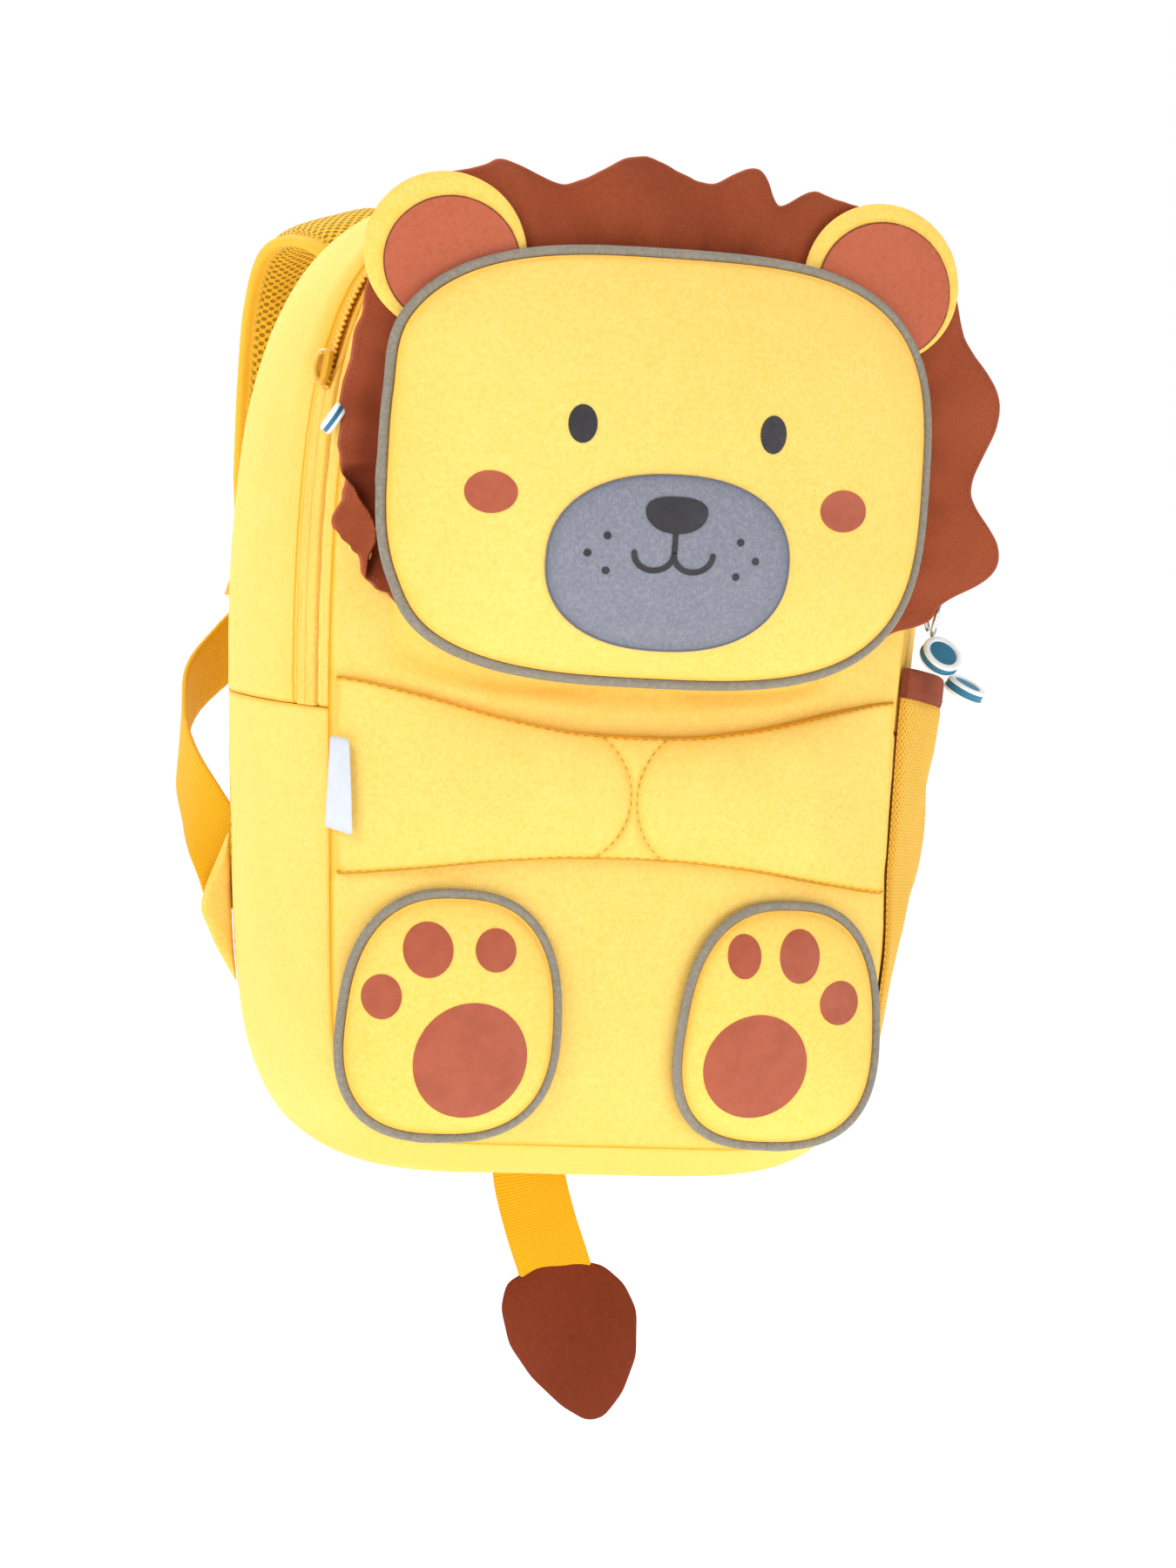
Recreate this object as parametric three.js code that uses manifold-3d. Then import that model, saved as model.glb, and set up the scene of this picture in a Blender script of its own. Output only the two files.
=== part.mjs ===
// Toddler's lion backpack, as worn: soft zipped body, padded lion head, paws, side pocket, straps and tail.
// Millimetres. +Z up, the lion looks along -Y, +X to the right in the picture, the wearer is at +Y.
// Origin: middle of the back panel's outer face, where the bag lies on a back.
import * as THREE from 'three';
import Module from 'manifold-3d';
import { mergeVertices } from 'three/addons/utils/BufferGeometryUtils.js';

const wasm = await Module();
wasm.setup();

// ---------- driving sizes ----------
const GAP = 0.3;            // between sewn pieces
const CLOTH = 2;            // body wall with its padding
const Y_SEAM = -95;         // front seam of the gusset
const Y_BACK = -5.3;        // back seam of the gusset
const Z_SPLIT = -12;        // where the zipped upper gusset meets the plain lower one
const ZIP = { y0: -89, y1: -81 };                       // zip tape, front and back edge
const HEAD = { cz: 66.6, a: 87.8, b: 65, n: 3.2, y0: -130, side: 15, tall: 3, dome: 12 };
const PIPE_R = 1.75;
const EAR = { x: 71, z: 129.5, r: 24.6, inner: 20.2 };
const MANE = { t: 2, back: 6.4 };
// felt edge of the mane, peaks and valleys in turn: angle round the head's middle, distance from it
const MANE_EDGE = [[-31, 84], [-11, 121.5], [-1, 105.5], [11.5, 118], [24, 111], [36, 121], [50, 106], [60, 101], [68, 91], [76, 96.5], [87, 85], [98.5, 94.5], [111, 90], [121, 105],
  [135, 113], [148, 104.5], [157, 100], [167, 97.5], [177, 95.8], [188, 98.4], [196, 96], [203, 97], [211, 84]];
const FOOT = { left: -51.4, right: 54.8, z: -104.4, a: 33, b: 38.2, n: 2.6, egg: 0.08, dome: 10 };
const TAIL_W = 24;
const WEB_W = 20;

// gusset sections, front to back: y, half width, top, bottom, corner power at the top and at the bottom
const SECTIONS = [
  { y: -95, a: 94, top: 140, bot: -145, nt: 4.6, nb: 7.5 },
  { y: -89, a: 97, top: 143, bot: -149.5, nt: 4.4, nb: 6.6 },
  { y: -81, a: 100.5, top: 146, bot: -154, nt: 4.2, nb: 6 },
  { y: -62, a: 106.5, top: 149.5, bot: -158.5, nt: 4, nb: 5.4 },
  { y: -40, a: 109.5, top: 151, bot: -159, nt: 4, nb: 5.2 },
  { y: -20, a: 109, top: 150, bot: -157, nt: 4, nb: 5.2 },
  { y: Y_BACK, a: 105.5, top: 147, bot: -153, nt: 4, nb: 5.2 },
];

// ---------- small maths ----------
const V = (x, y, z) => new THREE.Vector3(x, y, z);
const mix = (a, b, t) => a + (b - a) * t;
const clamp = (t, a = 0, b = 1) => Math.min(b, Math.max(a, t));
const smooth = (t) => { t = clamp(t); return t * t * (3 - 2 * t); };
const taper = (z) => 1 - 0.07 * smooth((40 - z) / 160);

function sectionAt(y) {
  let i = 0;
  while (i < SECTIONS.length - 2 && y > SECTIONS[i + 1].y) i++;
  const A = SECTIONS[i], B = SECTIONS[i + 1], t = clamp((y - A.y) / (B.y - A.y));
  const o = { y };
  for (const k of ['a', 'top', 'bot', 'nt', 'nb']) o[k] = mix(A[k], B[k], t);
  return o;
}
// closed outline of a section, dense, from the bottom centre round by +X
function dense(sec, steps = 720) {
  const pts = [];
  for (let i = 0; i < steps; i++) {
    const f = -Math.PI / 2 + (i / steps) * 2 * Math.PI, c = Math.cos(f), s = Math.sin(f);
    const up = s >= 0, b = up ? sec.top : -sec.bot, n = up ? sec.nt : sec.nb;
    const r = Math.pow(Math.pow(Math.abs(c) / sec.a, n) + Math.pow(Math.abs(s) / b, n), -1 / n);
    const z = r * s;
    pts.push([r * c * taper(z), z]);
  }
  return pts;
}
function resample(pts, count, closed) {
  const src = closed ? [...pts, pts[0]] : pts, len = [0];
  for (let i = 1; i < src.length; i++) len.push(len[i - 1] + Math.hypot(src[i][0] - src[i - 1][0], src[i][1] - src[i - 1][1]));
  const total = len[len.length - 1], n = closed ? count : count - 1, out = [];
  let k = 0;
  for (let i = 0; i < count; i++) {
    const want = (i / n) * total;
    while (k < len.length - 2 && len[k + 1] < want) k++;
    const t = (want - len[k]) / Math.max(1e-9, len[k + 1] - len[k]);
    out.push([mix(src[k][0], src[k + 1][0], t), mix(src[k][1], src[k + 1][1], t)]);
  }
  return out;
}
const ring = (sec, count) => resample(dense(sec), count, true);
// the open part of a section above or below the split, from +X round to -X (upper) or -X round to +X (lower)
function part(sec, upper, count, cut) {
  const d = dense(sec, 1440), keep = [];
  if (upper) { for (const p of d) if (p[1] > cut) keep.push(p); }
  else { for (let i = 720; i < 1440 + 720; i++) { const p = d[i % 1440]; if (p[1] < cut) keep.push(p); } }
  keep[0] = [keep[0][0], cut]; keep[keep.length - 1] = [keep[keep.length - 1][0], cut];
  return resample(keep, count, false);
}
function normals2(pts, closed) {
  const n = pts.length;
  return pts.map((p, i) => {
    const a = closed ? pts[(i + n - 1) % n] : pts[Math.max(0, i - 1)], b = closed ? pts[(i + 1) % n] : pts[Math.min(n - 1, i + 1)];
    const dx = b[0] - a[0], dz = b[1] - a[1], l = Math.hypot(dx, dz) || 1;
    return [dz / l, -dx / l];   // outward for a curve that runs anticlockwise in x, z
  });
}
const offset2 = (pts, d, closed = true) => { const n = normals2(pts, closed); return pts.map((p, i) => [p[0] + n[i][0] * d, p[1] + n[i][1] * d]); };
// superellipse outline round (cx, cz)
function superell(cx, cz, a, b, n, count, egg = 0) {
  const d = [];
  for (let i = 0; i < 720; i++) {
    const f = -Math.PI / 2 + (i / 720) * 2 * Math.PI, c = Math.cos(f), s = Math.sin(f);
    const r = Math.pow(Math.pow(Math.abs(c) / a, n) + Math.pow(Math.abs(s) / b, n), -1 / n);
    d.push([cx + r * c * (1 - egg * (r * s) / b), cz + r * s]);
  }
  return resample(d, count, true);
}

// ---------- surfaces ----------
// outer face of the front panel
const frontY = (x, z) => {
  const X = clamp(Math.abs(x) / 93), Z = clamp(Math.abs(z) / 143);
  return Y_SEAM - GAP - CLOTH - 14 * (1 - Math.pow(X, 2.8)) * (1 - Math.pow(Z, 5));
};
// rim of the head
const rimY = (x, z) => HEAD.y0 + HEAD.side * Math.pow(x / HEAD.a, 2) + HEAD.tall * Math.pow((z - HEAD.cz) / HEAD.b, 2);

// ---------- meshing ----------
class Mesher {
  constructor() { this.v = []; this.t = []; }
  add(p) { this.v.push(p.x, p.y, p.z); return this.v.length / 3 - 1; }
  quad(a, b, c, d) { this.t.push(a, b, c, a, c, d); }
  tri(a, b, c) { this.t.push(a, b, c); }
  geom() {
    const v = this.v, t = this.t;
    let vol = 0;
    for (let i = 0; i < t.length; i += 3) {
      const [a, b, c] = [t[i] * 3, t[i + 1] * 3, t[i + 2] * 3];
      vol += v[a] * (v[b + 1] * v[c + 2] - v[b + 2] * v[c + 1]) - v[a + 1] * (v[b] * v[c + 2] - v[b + 2] * v[c]) + v[a + 2] * (v[b] * v[c + 1] - v[b + 1] * v[c]);
    }
    if (vol < 0) for (let i = 0; i < t.length; i += 3) [t[i + 1], t[i + 2]] = [t[i + 2], t[i + 1]];
    const g = new THREE.BufferGeometry();
    g.setAttribute('position', new THREE.Float32BufferAttribute(v, 3));
    g.setIndex(t);
    g.computeVertexNormals();
    return g;
  }
}
// a wall between two grids of points, open or closed along the first index
function wall(outer, inner, closed) {
  const m = new Mesher(), O = outer.map((r) => r.map((p) => m.add(p))), I = inner.map((r) => r.map((p) => m.add(p)));
  const n = outer.length, k = outer[0].length - 1, last = closed ? n : n - 1;
  for (let i = 0; i < last; i++) {
    const j = (i + 1) % n;
    for (let s = 0; s < k; s++) {
      m.quad(O[i][s], O[j][s], O[j][s + 1], O[i][s + 1]);
      m.quad(I[i][s], I[i][s + 1], I[j][s + 1], I[j][s]);
    }
    m.quad(O[i][0], I[i][0], I[j][0], O[j][0]);
    m.quad(O[j][k], I[j][k], I[i][k], O[i][k]);
  }
  if (!closed) for (let s = 0; s < k; s++) {
    m.quad(O[0][s + 1], I[0][s + 1], I[0][s], O[0][s]);
    m.quad(O[n - 1][s], I[n - 1][s], I[n - 1][s + 1], O[n - 1][s + 1]);
  }
  return m.geom();
}
// a cushion or panel over an outline: front and back are functions of x, z and of how far in the point is (0 centre, 1 rim)
function cushion(outline, centre, scales, front, back, backScales = [1, 0.5]) {
  const m = new Mesher(), n = outline.length, side = (fn, list) => {
    const rings = list.map((s) => outline.map((p) => { const x = mix(centre[0], p[0], s), z = mix(centre[1], p[1], s); return m.add(V(x, fn(x, z, s), z)); }));
    return { rings, c: m.add(V(centre[0], fn(centre[0], centre[1], 0), centre[1])) };
  };
  const F = side(front, scales), B = side(back, backScales);
  for (const [S, flip] of [[F, false], [B, true]]) {
    for (let r = 0; r + 1 < S.rings.length; r++) for (let i = 0; i < n; i++) {
      const j = (i + 1) % n, a = S.rings[r][i], b = S.rings[r][j], c = S.rings[r + 1][j], d = S.rings[r + 1][i];
      flip ? m.quad(a, d, c, b) : m.quad(a, b, c, d);
    }
    const L = S.rings[S.rings.length - 1];
    for (let i = 0; i < n; i++) { const j = (i + 1) % n; flip ? m.tri(L[i], S.c, L[j]) : m.tri(L[i], L[j], S.c); }
  }
  for (let i = 0; i < n; i++) { const j = (i + 1) % n; m.quad(F.rings[0][j], F.rings[0][i], B.rings[0][i], B.rings[0][j]); }
  return m.geom();
}
// a closed cord along an outline, its middle at height fy(x, z)
function cord(outline, r, fy, sides = 5) {
  const nrm = normals2(outline, true), m = new Mesher(), R = outline.map((p, i) => {
    const row = [];
    for (let k = 0; k < sides; k++) {
      const f = (k / sides) * 2 * Math.PI + Math.PI / sides, x = p[0] + nrm[i][0] * r * Math.cos(f), z = p[1] + nrm[i][1] * r * Math.cos(f);
      row.push(m.add(V(x, fy(p[0], p[1]) + r * Math.sin(f), z)));
    }
    return row;
  });
  const n = R.length;
  for (let i = 0; i < n; i++) for (let k = 0; k < sides; k++) m.quad(R[i][k], R[(i + 1) % n][k], R[(i + 1) % n][(k + 1) % sides], R[i][(k + 1) % sides]);
  return m.geom();
}
// a flat band through rows [x, y, z, nx, ny, nz, width, thickness]; n is the outer face's direction; steps between rows
const bandCurve = (rows, mirror) => ({
  curve: new THREE.CatmullRomCurve3(rows.map((r) => V(r[0] * mirror, r[1], r[2])), false, 'centripetal'),
  N: rows.map((r) => V(r[3] * mirror, r[4], r[5]).normalize()),
});
function bandFrame(rows, u, mirror = 1, made = bandCurve(rows, mirror)) {
  const s = Math.min(rows.length - 1.000001, u * (rows.length - 1)), k = Math.floor(s), f = s - k;
  const c = made.curve.getPoint(u), t = made.curve.getTangent(u), n = made.N[k].clone().lerp(made.N[k + 1], smooth(f)).normalize();
  n.addScaledVector(t, -n.dot(t)).normalize();
  return { c, t, n, b: t.clone().cross(n).normalize(), w: mix(rows[k][6], rows[k + 1][6], f) / 2, h: mix(rows[k][7], rows[k + 1][7], f) / 2 };
}
function band(rows, steps, padded, mirror = 1) {
  const made = bandCurve(rows, mirror), total = (rows.length - 1) * steps, m = new Mesher(), R = [];
  for (let i = 0; i <= total; i++) {
    const { c, n, b, w, h } = bandFrame(rows, i / total, mirror, made), e = Math.min(w * 0.4, h * 1.3);
    const shape = padded ? [[-w, -h * 0.35], [-w + e, -h], [w - e, -h], [w, -h * 0.35], [w, h * 0.35], [w - e, h], [-w + e, h], [-w, h * 0.35]] : [[-w, -h], [w, -h], [w, h], [-w, h]];
    R.push(shape.map(([p, q]) => m.add(c.clone().addScaledVector(b, p).addScaledVector(n, q))));
  }
  const q = R[0].length;
  for (let i = 0; i + 1 < R.length; i++) for (let k = 0; k < q; k++) {
    const A = R[i][k], B = R[i][(k + 1) % q], D = R[i + 1][(k + 1) % q], E = R[i + 1][k];
    k < q / 2 ? m.quad(A, B, D, E) : m.quad(B, D, E, A);   // both faces fold along the same diagonal
  }
  for (let k = 1; k + 1 < q; k++) { m.tri(R[0][0], R[0][k + 1], R[0][k]); m.tri(R[R.length - 1][0], R[R.length - 1][k], R[R.length - 1][k + 1]); }
  return m.geom();
}
const plate = (pts, y0, y1) => {   // flat plate in x, z between two depths
  const m = new Mesher(), a = pts.map((p) => m.add(V(p[0], y0, p[1]))), b = pts.map((p) => m.add(V(p[0], y1, p[1]))), n = pts.length;
  for (let i = 0; i < n; i++) m.quad(a[i], a[(i + 1) % n], b[(i + 1) % n], b[i]);
  for (const [x, y, z] of THREE.ShapeUtils.triangulateShape(pts.map((p) => new THREE.Vector2(p[0], p[1])), [])) { m.tri(a[x], a[z], a[y]); m.tri(b[x], b[y], b[z]); }
  return m.geom();
};
// manifold-3d in and out
const solid = (g) => {
  const bare = new THREE.BufferGeometry();
  bare.setAttribute('position', g.attributes.position.clone());
  if (g.index) bare.setIndex(g.index.clone());
  const w = mergeVertices(bare, 1e-4);
  return new wasm.Manifold(new wasm.Mesh({ numProp: 3, vertProperties: new Float32Array(w.attributes.position.array), triVerts: new Uint32Array(w.index.array) }));
};
const toGeom = (man) => {
  const me = man.getMesh(), g = new THREE.BufferGeometry();
  g.setAttribute('position', new THREE.Float32BufferAttribute(Array.from(me.vertProperties), 3));
  g.setIndex(Array.from(me.triVerts));
  g.computeVertexNormals();
  return g;
};

// ---------- materials ----------
const C = {
  yellow: 0xfee27a, yellow2: 0xfddc74, gold: 0xf2b91e, mesh: 0xf7cf5f, backmesh: 0xe1b82a, brown: 0x9b4d30, tip: 0x893f26,
  terra: 0xcb6c4b, grey: 0x9093a0, pipe: 0xa0927c, binding: 0x9a5031, zip: 0xf2ae20, white: 0xf4f4f2, metal: 0xc9cbcc, blue: 0x2a7896, plastic: 0xe8b01c,
};
const mat = (hex, rough = 0.85, metal = 0) => new THREE.MeshStandardMaterial({ color: hex, roughness: rough, metalness: metal });
const group = new THREE.Group();
group.name = 'kids_animal_backpack';
// the right side's front is drawn in a little at the pocket's mouth
const DRAWN = /^(front_panel|gusset_|zip_main|arms_panel|side_pocket|zip_slider_right)/;
const drawIn = (g) => {
  const p = g.attributes.position;
  for (let i = 0; i < p.count; i++) p.setX(i, p.getX(i) - 3 * smooth((p.getX(i) - 40) / 50) * smooth((-50 - p.getY(i)) / 40) * Math.exp(-Math.pow(p.getZ(i) / 45, 2)));
  g.computeVertexNormals();
};
const put = (name, geom, hex, rough, metal) => { if (DRAWN.test(name)) drawIn(geom); const m = new THREE.Mesh(geom, mat(hex, rough, metal)); m.name = name; group.add(m); return m; };

// ---------- body ----------
const N_ARCH = 31, N_LOW = 29;
const sideX = (y, z) => { const s = sectionAt(y), up = z >= 0, b = up ? s.top : -s.bot, n = up ? s.nt : s.nb; return s.a * Math.pow(Math.max(0, 1 - Math.pow(Math.abs(z) / b, n)), 1 / n) * taper(z); };
const strip = (ys, upper, cut, count, t, out = 0) => {
  const O = ys.map((y) => offset2(part(sectionAt(y), upper, count, cut), out, false)), I = O.map((r) => offset2(r, -t, false).map((p, i, a) => (i === 0 || i === a.length - 1 ? [p[0], r[i][1]] : p)));
  const grid = (S) => Array.from({ length: count }, (_, i) => ys.map((y, k) => V(S[k][i][0], y, S[k][i][1])));
  return wall(grid(O), grid(I), false);
};
{
  const out = ring(sectionAt(Y_SEAM), 44);
  put('front_panel', cushion(out, [0, 0], [1, 0.93, 0.75, 0.42], (x, z) => frontY(x, z), (x, z) => frontY(x, z) + CLOTH, [1, 0.93, 0.75, 0.42]), C.yellow);
  put('gusset_lower', strip([Y_SEAM, -84, -62, -32, Y_BACK], false, Z_SPLIT - GAP, N_LOW, CLOTH), C.yellow);
  put('gusset_upper_front', strip([Y_SEAM, ZIP.y0 - GAP], true, Z_SPLIT, N_ARCH, CLOTH), C.yellow);
  put('zip_main', strip([ZIP.y0, (ZIP.y0 + ZIP.y1) / 2, ZIP.y1], true, Z_SPLIT, N_ARCH, 2.2, 0.4), C.zip, 0.5);
  put('gusset_upper_back', strip([ZIP.y1 + GAP, -62, -40, -20, Y_BACK], true, Z_SPLIT, N_ARCH, CLOTH), C.yellow);
  const back = ring(sectionAt(Y_BACK), 44);
  put('back_panel', cushion(back, [0, 0], [1], () => Y_BACK + GAP, () => 0, [1]), C.backmesh, 0.95);
}

// ---------- head ----------
const rim = superell(0, HEAD.cz, HEAD.a, HEAD.b, HEAD.n, 42);
const headMid = [0, HEAD.cz];
put('face_panel', cushion(offset2(rim, -PIPE_R - GAP), headMid, [1, 0.92, 0.72, 0.4],
  (x, z, s) => rimY(x, z) - 1.5 - HEAD.dome * Math.pow(1 - s * s, 0.7), (x, z) => rimY(x, z) + 1.5), C.yellow);
put('face_piping', cord(rim, PIPE_R, rimY), C.pipe);
const core = offset2(rim, -5);
put('head_cushion', cushion(core, headMid, [1, 0.5], (x, z) => rimY(x, z) + 2.2, (x, z) => frontY(x, z) - 0.9, [1, 0.7, 0.35]), C.yellow2);

// muzzle patch: a wide oval on the face
{
  const o = superell(0, 38.5, 38, 26.5, 2.3, 26);
  const faceY = (x, z) => {   // the face's front at x, z
    const X = Math.abs(x) / (HEAD.a - 2), Z = Math.abs(z - HEAD.cz) / (HEAD.b - 2), s = Math.min(1, Math.pow(Math.pow(X, HEAD.n) + Math.pow(Z, HEAD.n), 1 / HEAD.n));
    return rimY(x, z) - 1.5 - HEAD.dome * Math.pow(1 - s * s, 0.7);
  };
  put('muzzle', cushion(o, [0, 38.5], [1, 0.75, 0.4], (x, z, s) => faceY(x, z) - 2 - 2 * (1 - s * s), (x, z) => faceY(x, z) - 0.8, [1, 0.75, 0.4]), C.grey);
}

// mane: felt standing out behind the rim, waved edge; the left side is pushed back and shows less
{
  const angles = [], outerR = [], per = 3;
  for (let i = 0; i + 1 < MANE_EDGE.length; i++) for (let k = 0; k < per; k++) {
    const t = k / per; angles.push(mix(MANE_EDGE[i][0], MANE_EDGE[i + 1][0], t)); outerR.push(mix(MANE_EDGE[i][1], MANE_EDGE[i + 1][1], (1 - Math.cos(Math.PI * t)) / 2));
  }
  angles.push(MANE_EDGE[MANE_EDGE.length - 1][0]); outerR.push(MANE_EDGE[MANE_EDGE.length - 1][1]);
  const a = HEAD.a - 3.9, b = HEAD.b - 3.9;
  const grid = (dy) => angles.map((deg, i) => {
    const f = THREE.MathUtils.degToRad(deg), c = Math.cos(f), q = Math.sin(f), r0 = Math.pow(Math.pow(Math.abs(c) / a, HEAD.n) + Math.pow(Math.abs(q) / b, HEAD.n), -1 / HEAD.n), r1 = Math.max(outerR[i], r0 + 3);
    return [0, 0.55, 1].map((k) => { const r = mix(r0, r1, k), x = r * c, z = HEAD.cz + r * q; return V(x, rimY(x, z) + MANE.back + dy, z); });
  });
  put('mane', wall(grid(0), grid(MANE.t), false), C.brown, 0.95);
}

// ears: flat round pads seated behind the rim, in front of the mane
const coreCut = solid(plate(offset2(rim, -5 + GAP + 0.2), -150, -60));
for (const [side, sx] of [['left', -1], ['right', 1]]) {
  const o = superell(sx * EAR.x, EAR.z, EAR.r, EAR.r, 2, 26), c = [sx * EAR.x, EAR.z];
  const ear = cushion(o, c, [1, 0.88], (x, z, s) => rimY(x, z) + (s >= 1 ? 3.7 : 2.9), (x, z, s) => rimY(x, z) + (s >= 1 ? 5.1 : 5.9), [1, 0.88]);
  put(`ear_${side}`, toGeom(solid(ear).subtract(coreCut)), C.yellow2);
  const i = superell(sx * EAR.x, EAR.z, EAR.inner, EAR.inner, 2, 22);
  const disc = cushion(i, c, [1], (x, z) => rimY(x, z) + 1.9, (x, z) => rimY(x, z) + 2.5, [1]);
  const rimCut = solid(plate(offset2(rim, PIPE_R + 0.3), -150, -60));
  put(`ear_${side}_inner`, toGeom(solid(disc).subtract(rimCut)), C.terra);
}

// ---------- arms and feet ----------
// arms: half width position, upper edge, lower edge
const ARMS = [[0, -15.8, -53.6], [20, -15.2, -54], [42, -11.6, -56], [66, -6, -59.6], [87.5, -2, -62.6]];
{
  const pts = [];
  for (let i = ARMS.length - 1; i >= 0; i--) pts.push([-ARMS[i][0], ARMS[i][2]]);
  for (let i = 1; i < ARMS.length; i++) pts.push([ARMS[i][0], ARMS[i][2]]);
  pts.push([89, -54], [90.2, -32], [91, -10]);
  for (let i = ARMS.length - 1; i >= 0; i--) pts.push([ARMS[i][0], ARMS[i][1]]);
  for (let i = 1; i < ARMS.length; i++) pts.push([-ARMS[i][0], ARMS[i][1]]);
  pts.push([-91, -10], [-90.2, -32], [-89, -54]);
  const o = resample(pts, 44, true), c = [0, -33.5];
  const rowsIn = [1, 0.93, 0.7, 0.36];
  // the panel's own scaling keeps the bow-tie: thickness from how far the point is from the upper and lower edge
  const edge = (x) => { const X = Math.min(87.5, Math.abs(x)); let k = 0; while (k < ARMS.length - 2 && X > ARMS[k + 1][0]) k++; const t = (X - ARMS[k][0]) / (ARMS[k + 1][0] - ARMS[k][0]); return [mix(ARMS[k][1], ARMS[k + 1][1], t), mix(ARMS[k][2], ARMS[k + 1][2], t)]; };
  const puff = (x, z) => { const [hi, lo] = edge(x), v = clamp((z - lo) / (hi - lo)), u = smooth((91 - Math.abs(x)) / 34); return Math.pow(4 * v * (1 - v), 0.5) * u; };
  put('arms_panel', cushion(o, c, rowsIn, (x, z) => frontY(x, z) - 0.7 - 1.3 - 7.1 * puff(x, z), (x, z) => frontY(x, z) - 0.7, [1, 0.85, 0.6, 0.3]), C.yellow);
}
for (const side of ['left', 'right']) {
  const c = [FOOT[side], FOOT.z], o = superell(c[0], c[1], FOOT.a, FOOT.b, FOOT.n, 26, FOOT.egg);
  put(`foot_${side}`, cushion(offset2(o, -PIPE_R - GAP), c, [1, 0.9, 0.68, 0.36], (x, z, s) => frontY(x, z) - 0.7 - 3 - FOOT.dome * Math.pow(1 - s * s, 0.7), (x, z) => frontY(x, z) - 0.7, [1, 0.5]), C.yellow);
  put(`foot_${side}_piping`, cord(o, PIPE_R, (x, z) => frontY(x, z) - 0.7 - PIPE_R), C.pipe);
}

// ---------- side pocket on the right ----------
{
  const ys = [-91, -80, -62, -40, -20, -8], zTop = (y) => -1 - 0.14 * (y + 91), rowsN = 9;   // the mouth falls towards the back
  const bulge = (y, z) => { const v = clamp((y + 91) / 83), h = smooth((z + 100) / 78); return 1 + 10 * Math.pow(Math.sin(Math.PI * v), 0.7) * h; };
  const zs = Array.from({ length: rowsN }, (_, i) => i / (rowsN - 1));
  const g = (d) => zs.map((t) => ys.map((y) => { const z = mix(zTop(y), -128, t); return V(sideX(y, z) + bulge(y, z) + d, y, z); }));
  put('side_pocket', wall(g(1.2), g(0), false), C.mesh, 0.9);
  const h = (d) => ys.map((y) => [zTop(y) + 9.4, zTop(y) + 0.3].map((z) => V(sideX(y, z) + bulge(y, z) - 0.4 + d, y, z)));
  put('side_pocket_binding', wall(h(2), h(0), false), C.binding);
}

// ---------- label, tabs ----------
{
  const m = [[-93, -47.8], [-85.1, -49.9], [-87.4, -20.8], [-93, -20]], y = (x) => -103.2 - (x + 93) * 0.4;
  const g = cushion(resample(m, 12, true), [-89.6, -34.6], [1], y, (x) => y(x) + 0.8);
  put('label', g, C.white);
}
for (const [side, sx] of [['left', -1], ['right', 1]]) {
  const root = [-107, -95, -82, -70, -58].map((z) => [sideX(Y_BACK, z) + 0.6, z]);   // along the back panel's edge
  const tri = [[106.9, -75], [108.2, -80], [108.2, -84.5], [102.8, -95.4]].concat(root).map(([x, z]) => [sx * x, z]);
  put(`wing_tab_${side}`, plate(sx > 0 ? tri.slice().reverse() : tri, -3.6, -0.4), C.yellow);
}

// ---------- straps ----------
// padded strap and webbing of the left side (x mirrored for the right): x, y, z, outer face's direction, width, thickness
const STRAP = [
  [-52, 5.2, 100, 0, -1, 0.02, 40, 9], [-53, 6.8, 118, 0, -0.6, 0.3, 40, 9], [-59, 18, 132, -0.2, -0.35, 0.95, 40, 9], [-66, 40, 137.5, -0.3, 0, 0.95, 40, 9],
  [-69, 62, 131, -0.25, 0.5, 0.85, 40, 9.5], [-68, 82, 112, -0.15, 0.85, 0.5, 40, 10], [-66, 96, 84, -0.1, 0.97, 0.2, 39, 10], [-65, 103, 54, -0.1, 0.98, 0.05, 37, 9.5], [-65, 106, 28, -0.12, 0.98, -0.05, 31, 8.5],
];
const WEB = [
  [-65, 106, 23.6, -0.12, 0.98, -0.05, WEB_W, 1.8], [-68.5, 105, 9, -0.3, 0.93, -0.1, WEB_W, 1.8], [-82, 98.5, -4, -0.65, 0.75, -0.1, WEB_W, 1.8], [-97, 83, -17, -0.9, 0.4, -0.1, WEB_W, 1.8],
  [-104.5, 60, -30, -1, 0, -0.1, WEB_W, 1.8], [-108.5, 36, -41, -0.95, -0.3, 0, WEB_W, 1.8], [-108, 15, -53, -0.6, -0.8, 0, WEB_W, 1.8], [-104, 4, -65, -0.15, -0.99, 0, WEB_W, 1.8], [-101, 1.6, -72, 0, -1, 0, WEB_W, 1.8],
];
for (const [side, sx] of [['left', 1], ['right', -1]]) {
  put(`shoulder_strap_${side}`, band(STRAP, 2, true, sx), C.yellow);
  put(`webbing_${side}`, band(WEB, 3, false, sx), C.gold, 0.7);
}
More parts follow.
